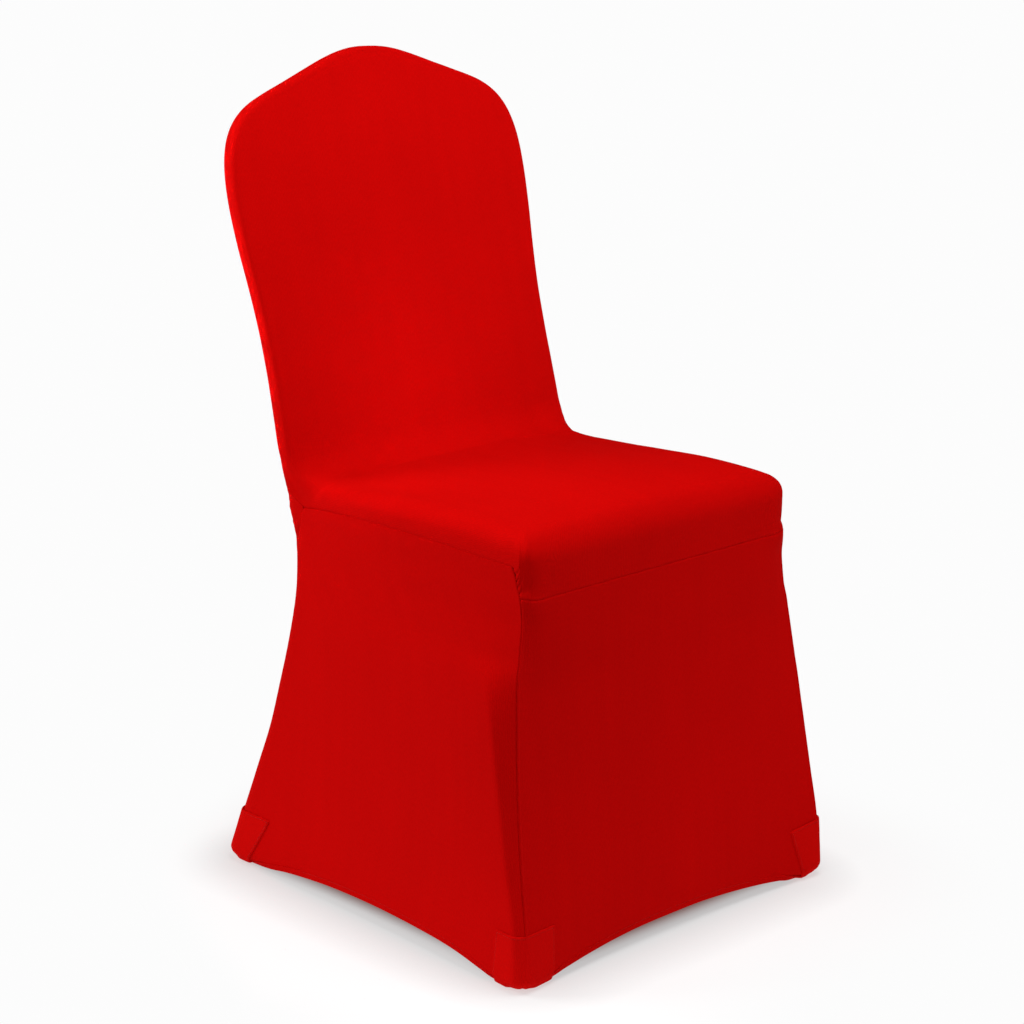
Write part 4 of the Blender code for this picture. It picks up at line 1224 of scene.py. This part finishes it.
def main_panel(ribs, outwards):
    """Grid of the main panel, with all its soft shapes and its relief."""
    grid = resample_across(main_grid(ribs, outwards), end=SEAM_STEPS)
    grid = across_ribs(grid, (FOLD_END, SIDE_END, FRONT_END), range(SIDE_END - 1, FRONT_END + 4))
    grid = soften(grid)
    near_corner = ramp(grid[..., 1], 0.140, -0.03) * ramp(grid[..., 0], 0.10, 0.03)
    grid = lerp(grid, soften(grid, 160, 0.034), near_corner[..., None])
    inward = distances(grid)[3]
    x, y, z = (grid[..., k] for k in range(3))     # views, which follow the grid
    sag = ramp(inward, 0.010, 0.016) * ramp(x, 0.09, 0.06) * ramp(z, 0.52, -0.03)
    z -= sag * (SAG_BACK * ramp(y, 0.22, 0.10) + SAG_MIDDLE * bell(y - 0.21, 0.06))
    fillet = bell(y - 0.375 - 0.8 * (z - 0.476), 0.019) * bell(z - 0.476, 0.017)
    fillet = fillet * ramp(inward, 0.003, 0.009) * ramp(x, 0.15, 0.03)
    grid[..., :3] += fillet[..., None] * FOLD_FILL
    grid = eased_corner(grid)
    down, _, _, inward = distances(grid)
    relief = seam_relief(inward, down[:, -1:], 0.00065 + 0.00020 * ramp(y, 0.060, -0.010))
    relief = relief + corner_puckers(grid, inward)
    relief = relief - 0.00035 * bell(inward - 0.0262, 0.0026) * ramp(z, 0.52, 0.1)
    raised(grid, relief, UP)
    return grid


def hemmed(grid, relief, facing, ends):
    """A skirt's grid with its relief and turned hem, and the lane that the hem's stitches take."""
    normals = raised(grid, relief, facing)
    row = -1 - HEM_LANE
    return turned_hem(grid, normals), [(grid[row, ends, :3], normals[row, ends])]


def side_skirt(rows):
    band = SEAM_STEPS + tuple(np.arange(0.011, 0.060, 0.0024))
    grid = draped(rows, len(rows[0]) // 2, 1, SEAM_STEPS, band)
    grid = resample(grid, SEAM_STEPS, HEM_STEPS)
    from_top, from_hem, from_rear, from_front = distances(grid)
    relief = seam_relief(from_top, from_rear, 0.0008) + seam_relief(from_rear, from_top, 0.0003)
    depth = 0.0010 + 0.0016 * ramp(grid[..., 2], 0.418, -0.010)
    relief = relief + seam_relief(from_front, from_top, depth, 0.0, 0.0007)
    relief = relief + hem_relief(from_hem, from_rear)
    return hemmed(grid, relief, RIGHT, slice(LANE_END, -LANE_END))


def front_skirt(rows):
    grid = draped(rows, len(rows[0]) - 1, 0, SEAM_STEPS, (0.0,))
    grid = resample(grid, SEAM_STEPS, HEM_STEPS)
    grid[:, -1, 0] = 0.0
    from_top, from_hem, from_corner, _ = distances(grid)
    relief = seam_relief(from_top, from_corner)
    relief = relief + seam_relief(from_corner, from_top, 0.0026, 0.0009, 0.0007)
    relief = relief + hem_relief(from_hem, from_corner)
    grid, lane = hemmed(grid, relief, AHEAD, slice(LANE_END, None))
    grid[:, -1, 0] = 0.0
    return grid, lane


def back_panel(rows):
    grid = draped(rows, 0, 0, (0.0,), SEAM_STEPS)
    counts = step_counts(grid)
    upper = np.concatenate([(grid[1] * FLIP)[None], grid[:FOLD_END + 1]])
    parts = [span(upper, [0] + counts[:FOLD_END]), span(grid[FOLD_END:], counts[FOLD_END:]), grid[-1:]]
    grid = resample(np.concatenate(parts), (0.0,), HEM_STEPS, 0.0045)
    from_top, from_hem, _, from_seam = distances(grid)
    relief = seam_relief(from_seam, from_top, 0.0003) + hem_relief(from_hem, from_seam)
    grid, lane = hemmed(grid, relief, BEHIND, slice(None, -LANE_END))
    grid[:, 0, 0] = 0.0
    return grid, lane


def foot_pocket(path, wall, sign, lift):
    rows = pocket_rows(path, wall, sign, lift)
    grid = draped(rows, POCKET_MIDDLE, 1, EDGE_STEPS, EDGE_STEPS, POCKET_SPACING)
    grid = resample(grid, EDGE_STEPS, (0.0,), POCKET_SPACING)
    from_top, _, from_first, from_last = distances(grid)
    relief = edge_relief(from_top, from_first) + edge_relief(from_first, from_top)
    relief = relief + edge_relief(from_last, from_top) - 0.0006 * bell(grid[..., 2] - 0.0062, 0.0017)
    if sign > 0.0:        # a front pocket also follows the groove of the corner seam under it
        above = along(as_array(rows[:1])[0])
        at_seam = above[SEAM_POINT] / above[-1]
        relief = relief - 0.0010 * bell(from_first - at_seam * (from_first + from_last), 0.0016)
    normals = raised(grid, relief, RIGHT, POCKET_FACE)
    k = EDGE_LANE
    reach = int(np.sum(grid[:, k, 2] > POCKET_STITCHED))
    lanes = ((k, slice(k, -k)), (slice(k, reach), k), (slice(k, reach), -1 - k))
    return grid, [(grid[row, column, :3], normals[row, column]) for row, column in lanes]


def build():
    upper, around, lower = shoulder_ribs(), fold_ribs(), seat_ribs()
    outwards = [(edge.x, -edge.z) for _, edge, _ in upper]
    seams = {
        "side": [around[-1][-1]] + [r[-1] for r in lower[:SIDE_TURN + 1]],
        "descent": [r[-1] for r in lower[SIDE_TURN:FRONT_TURN + 1]],
        "front": [r[-1] for r in lower[FRONT_TURN:]],
        "back": [(row[-1], edge, normal, spine_height(BACK_TOP, k / (len(upper) - 1.0)))
                 for k, (row, edge, normal) in enumerate(upper)],
        "fold": [],
    }
    for k, seam in enumerate(row[-1] for row in around):
        share = smooth((k + 1.0) / len(around))
        seams["fold"].append((seam, lerp(back_plane(seam.z), REAR_CORNER[0][4], share),
                              lerp(seam.x - 0.0005, REAR_CORNER[0][5], share)))
    outwards += [(1.0, 0.0)] * (SIDE_END + 1 - BACK_RIBS)
    outwards += [(math.cos(a), math.sin(a)) for a in np.radians(CORNER_ANGLES)]
    ribs = [r[0] for r in upper] + around + lower
    outwards += [(0.0, 1.0)] * (len(ribs) - len(outwards))

    knits = {kind: knit("knit_" + kind, look[0]) for kind, look in KINDS.items()}
    cotton = thread("sewing_thread", (0.50, 0.006, 0.005))
    lanes = {}

    def add(kind, sheet, suffix="", mirrored=None, at=None):
        grid, lane = sheet
        _, facing, uneven = KINDS[kind]
        cloth_mesh("cover_" + kind + suffix, grid, facing, knits[kind], uneven, mirrored, at)
        sides = {None: (1.0, -1.0), True: (-1.0,), False: (1.0,)}[mirrored]
        lanes[kind + suffix] = [(p * (x, 1.0, 1.0), n * (x, 1.0, 1.0)) for x in sides for p, n in lane]

    add("main_panel", (main_panel(ribs, outwards), []))
    rows, first = side_rows(seams)
    side = side_skirt(rows)
    add("side_skirt", side, "_left", True)
    add("side_skirt", side, "_right", False)
    corner = [row[-1] for row in rows[first:]]
    add("front_skirt", front_skirt(front_rows(seams, corner)))
    # every fourth row is enough for the back's seam, except at the floor
    rear_seam = [row[0] for row in rows[4:-6:4] + rows[-6:]]
    add("back_panel", back_panel(back_rows(seams, rear_seam)))

    front_wall = ((0.2165, 0.0400, 0.0), (0.2030, 0.0370, 0.0), (0.1880, 0.0225, 0.0))
    rear_wall = ((0.2020, 0.4690, 0.0), (0.1860, 0.4700, 0.0), (0.1790, 0.4900, 0.0))
    front_left = (lambda z: front_path(z, POCKET_SHARE_LEFT, 0.812)), front_wall, 1.0, 0.0
    front_right = (lambda z: front_path(z, POCKET_SHARE_RIGHT, 0.803)), front_wall, 1.0, 0.0045
    rear = rear_path, rear_wall, -1.0, 0.0030
    add("foot_pocket", foot_pocket(*front_left), "_front_left", True, POCKET_FACE)
    add("foot_pocket", foot_pocket(*front_right), "_front_right", False, POCKET_FACE)
    add("foot_pocket", foot_pocket(*rear), "_rear_left", True, POCKET_FACE)
    add("foot_pocket", foot_pocket(*rear), "_rear_right", False, POCKET_FACE)

    for node, (width, length, area, hangs) in CUT.items():
        piece = bpy.data.objects["cover_" + node]
        sewn = [stitch_mesh("stitches_" + node, lanes[node], cotton)] if lanes[node] else []
        for item in [piece] + sewn:
            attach(item, "root")
        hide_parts(node)


build()
studio()
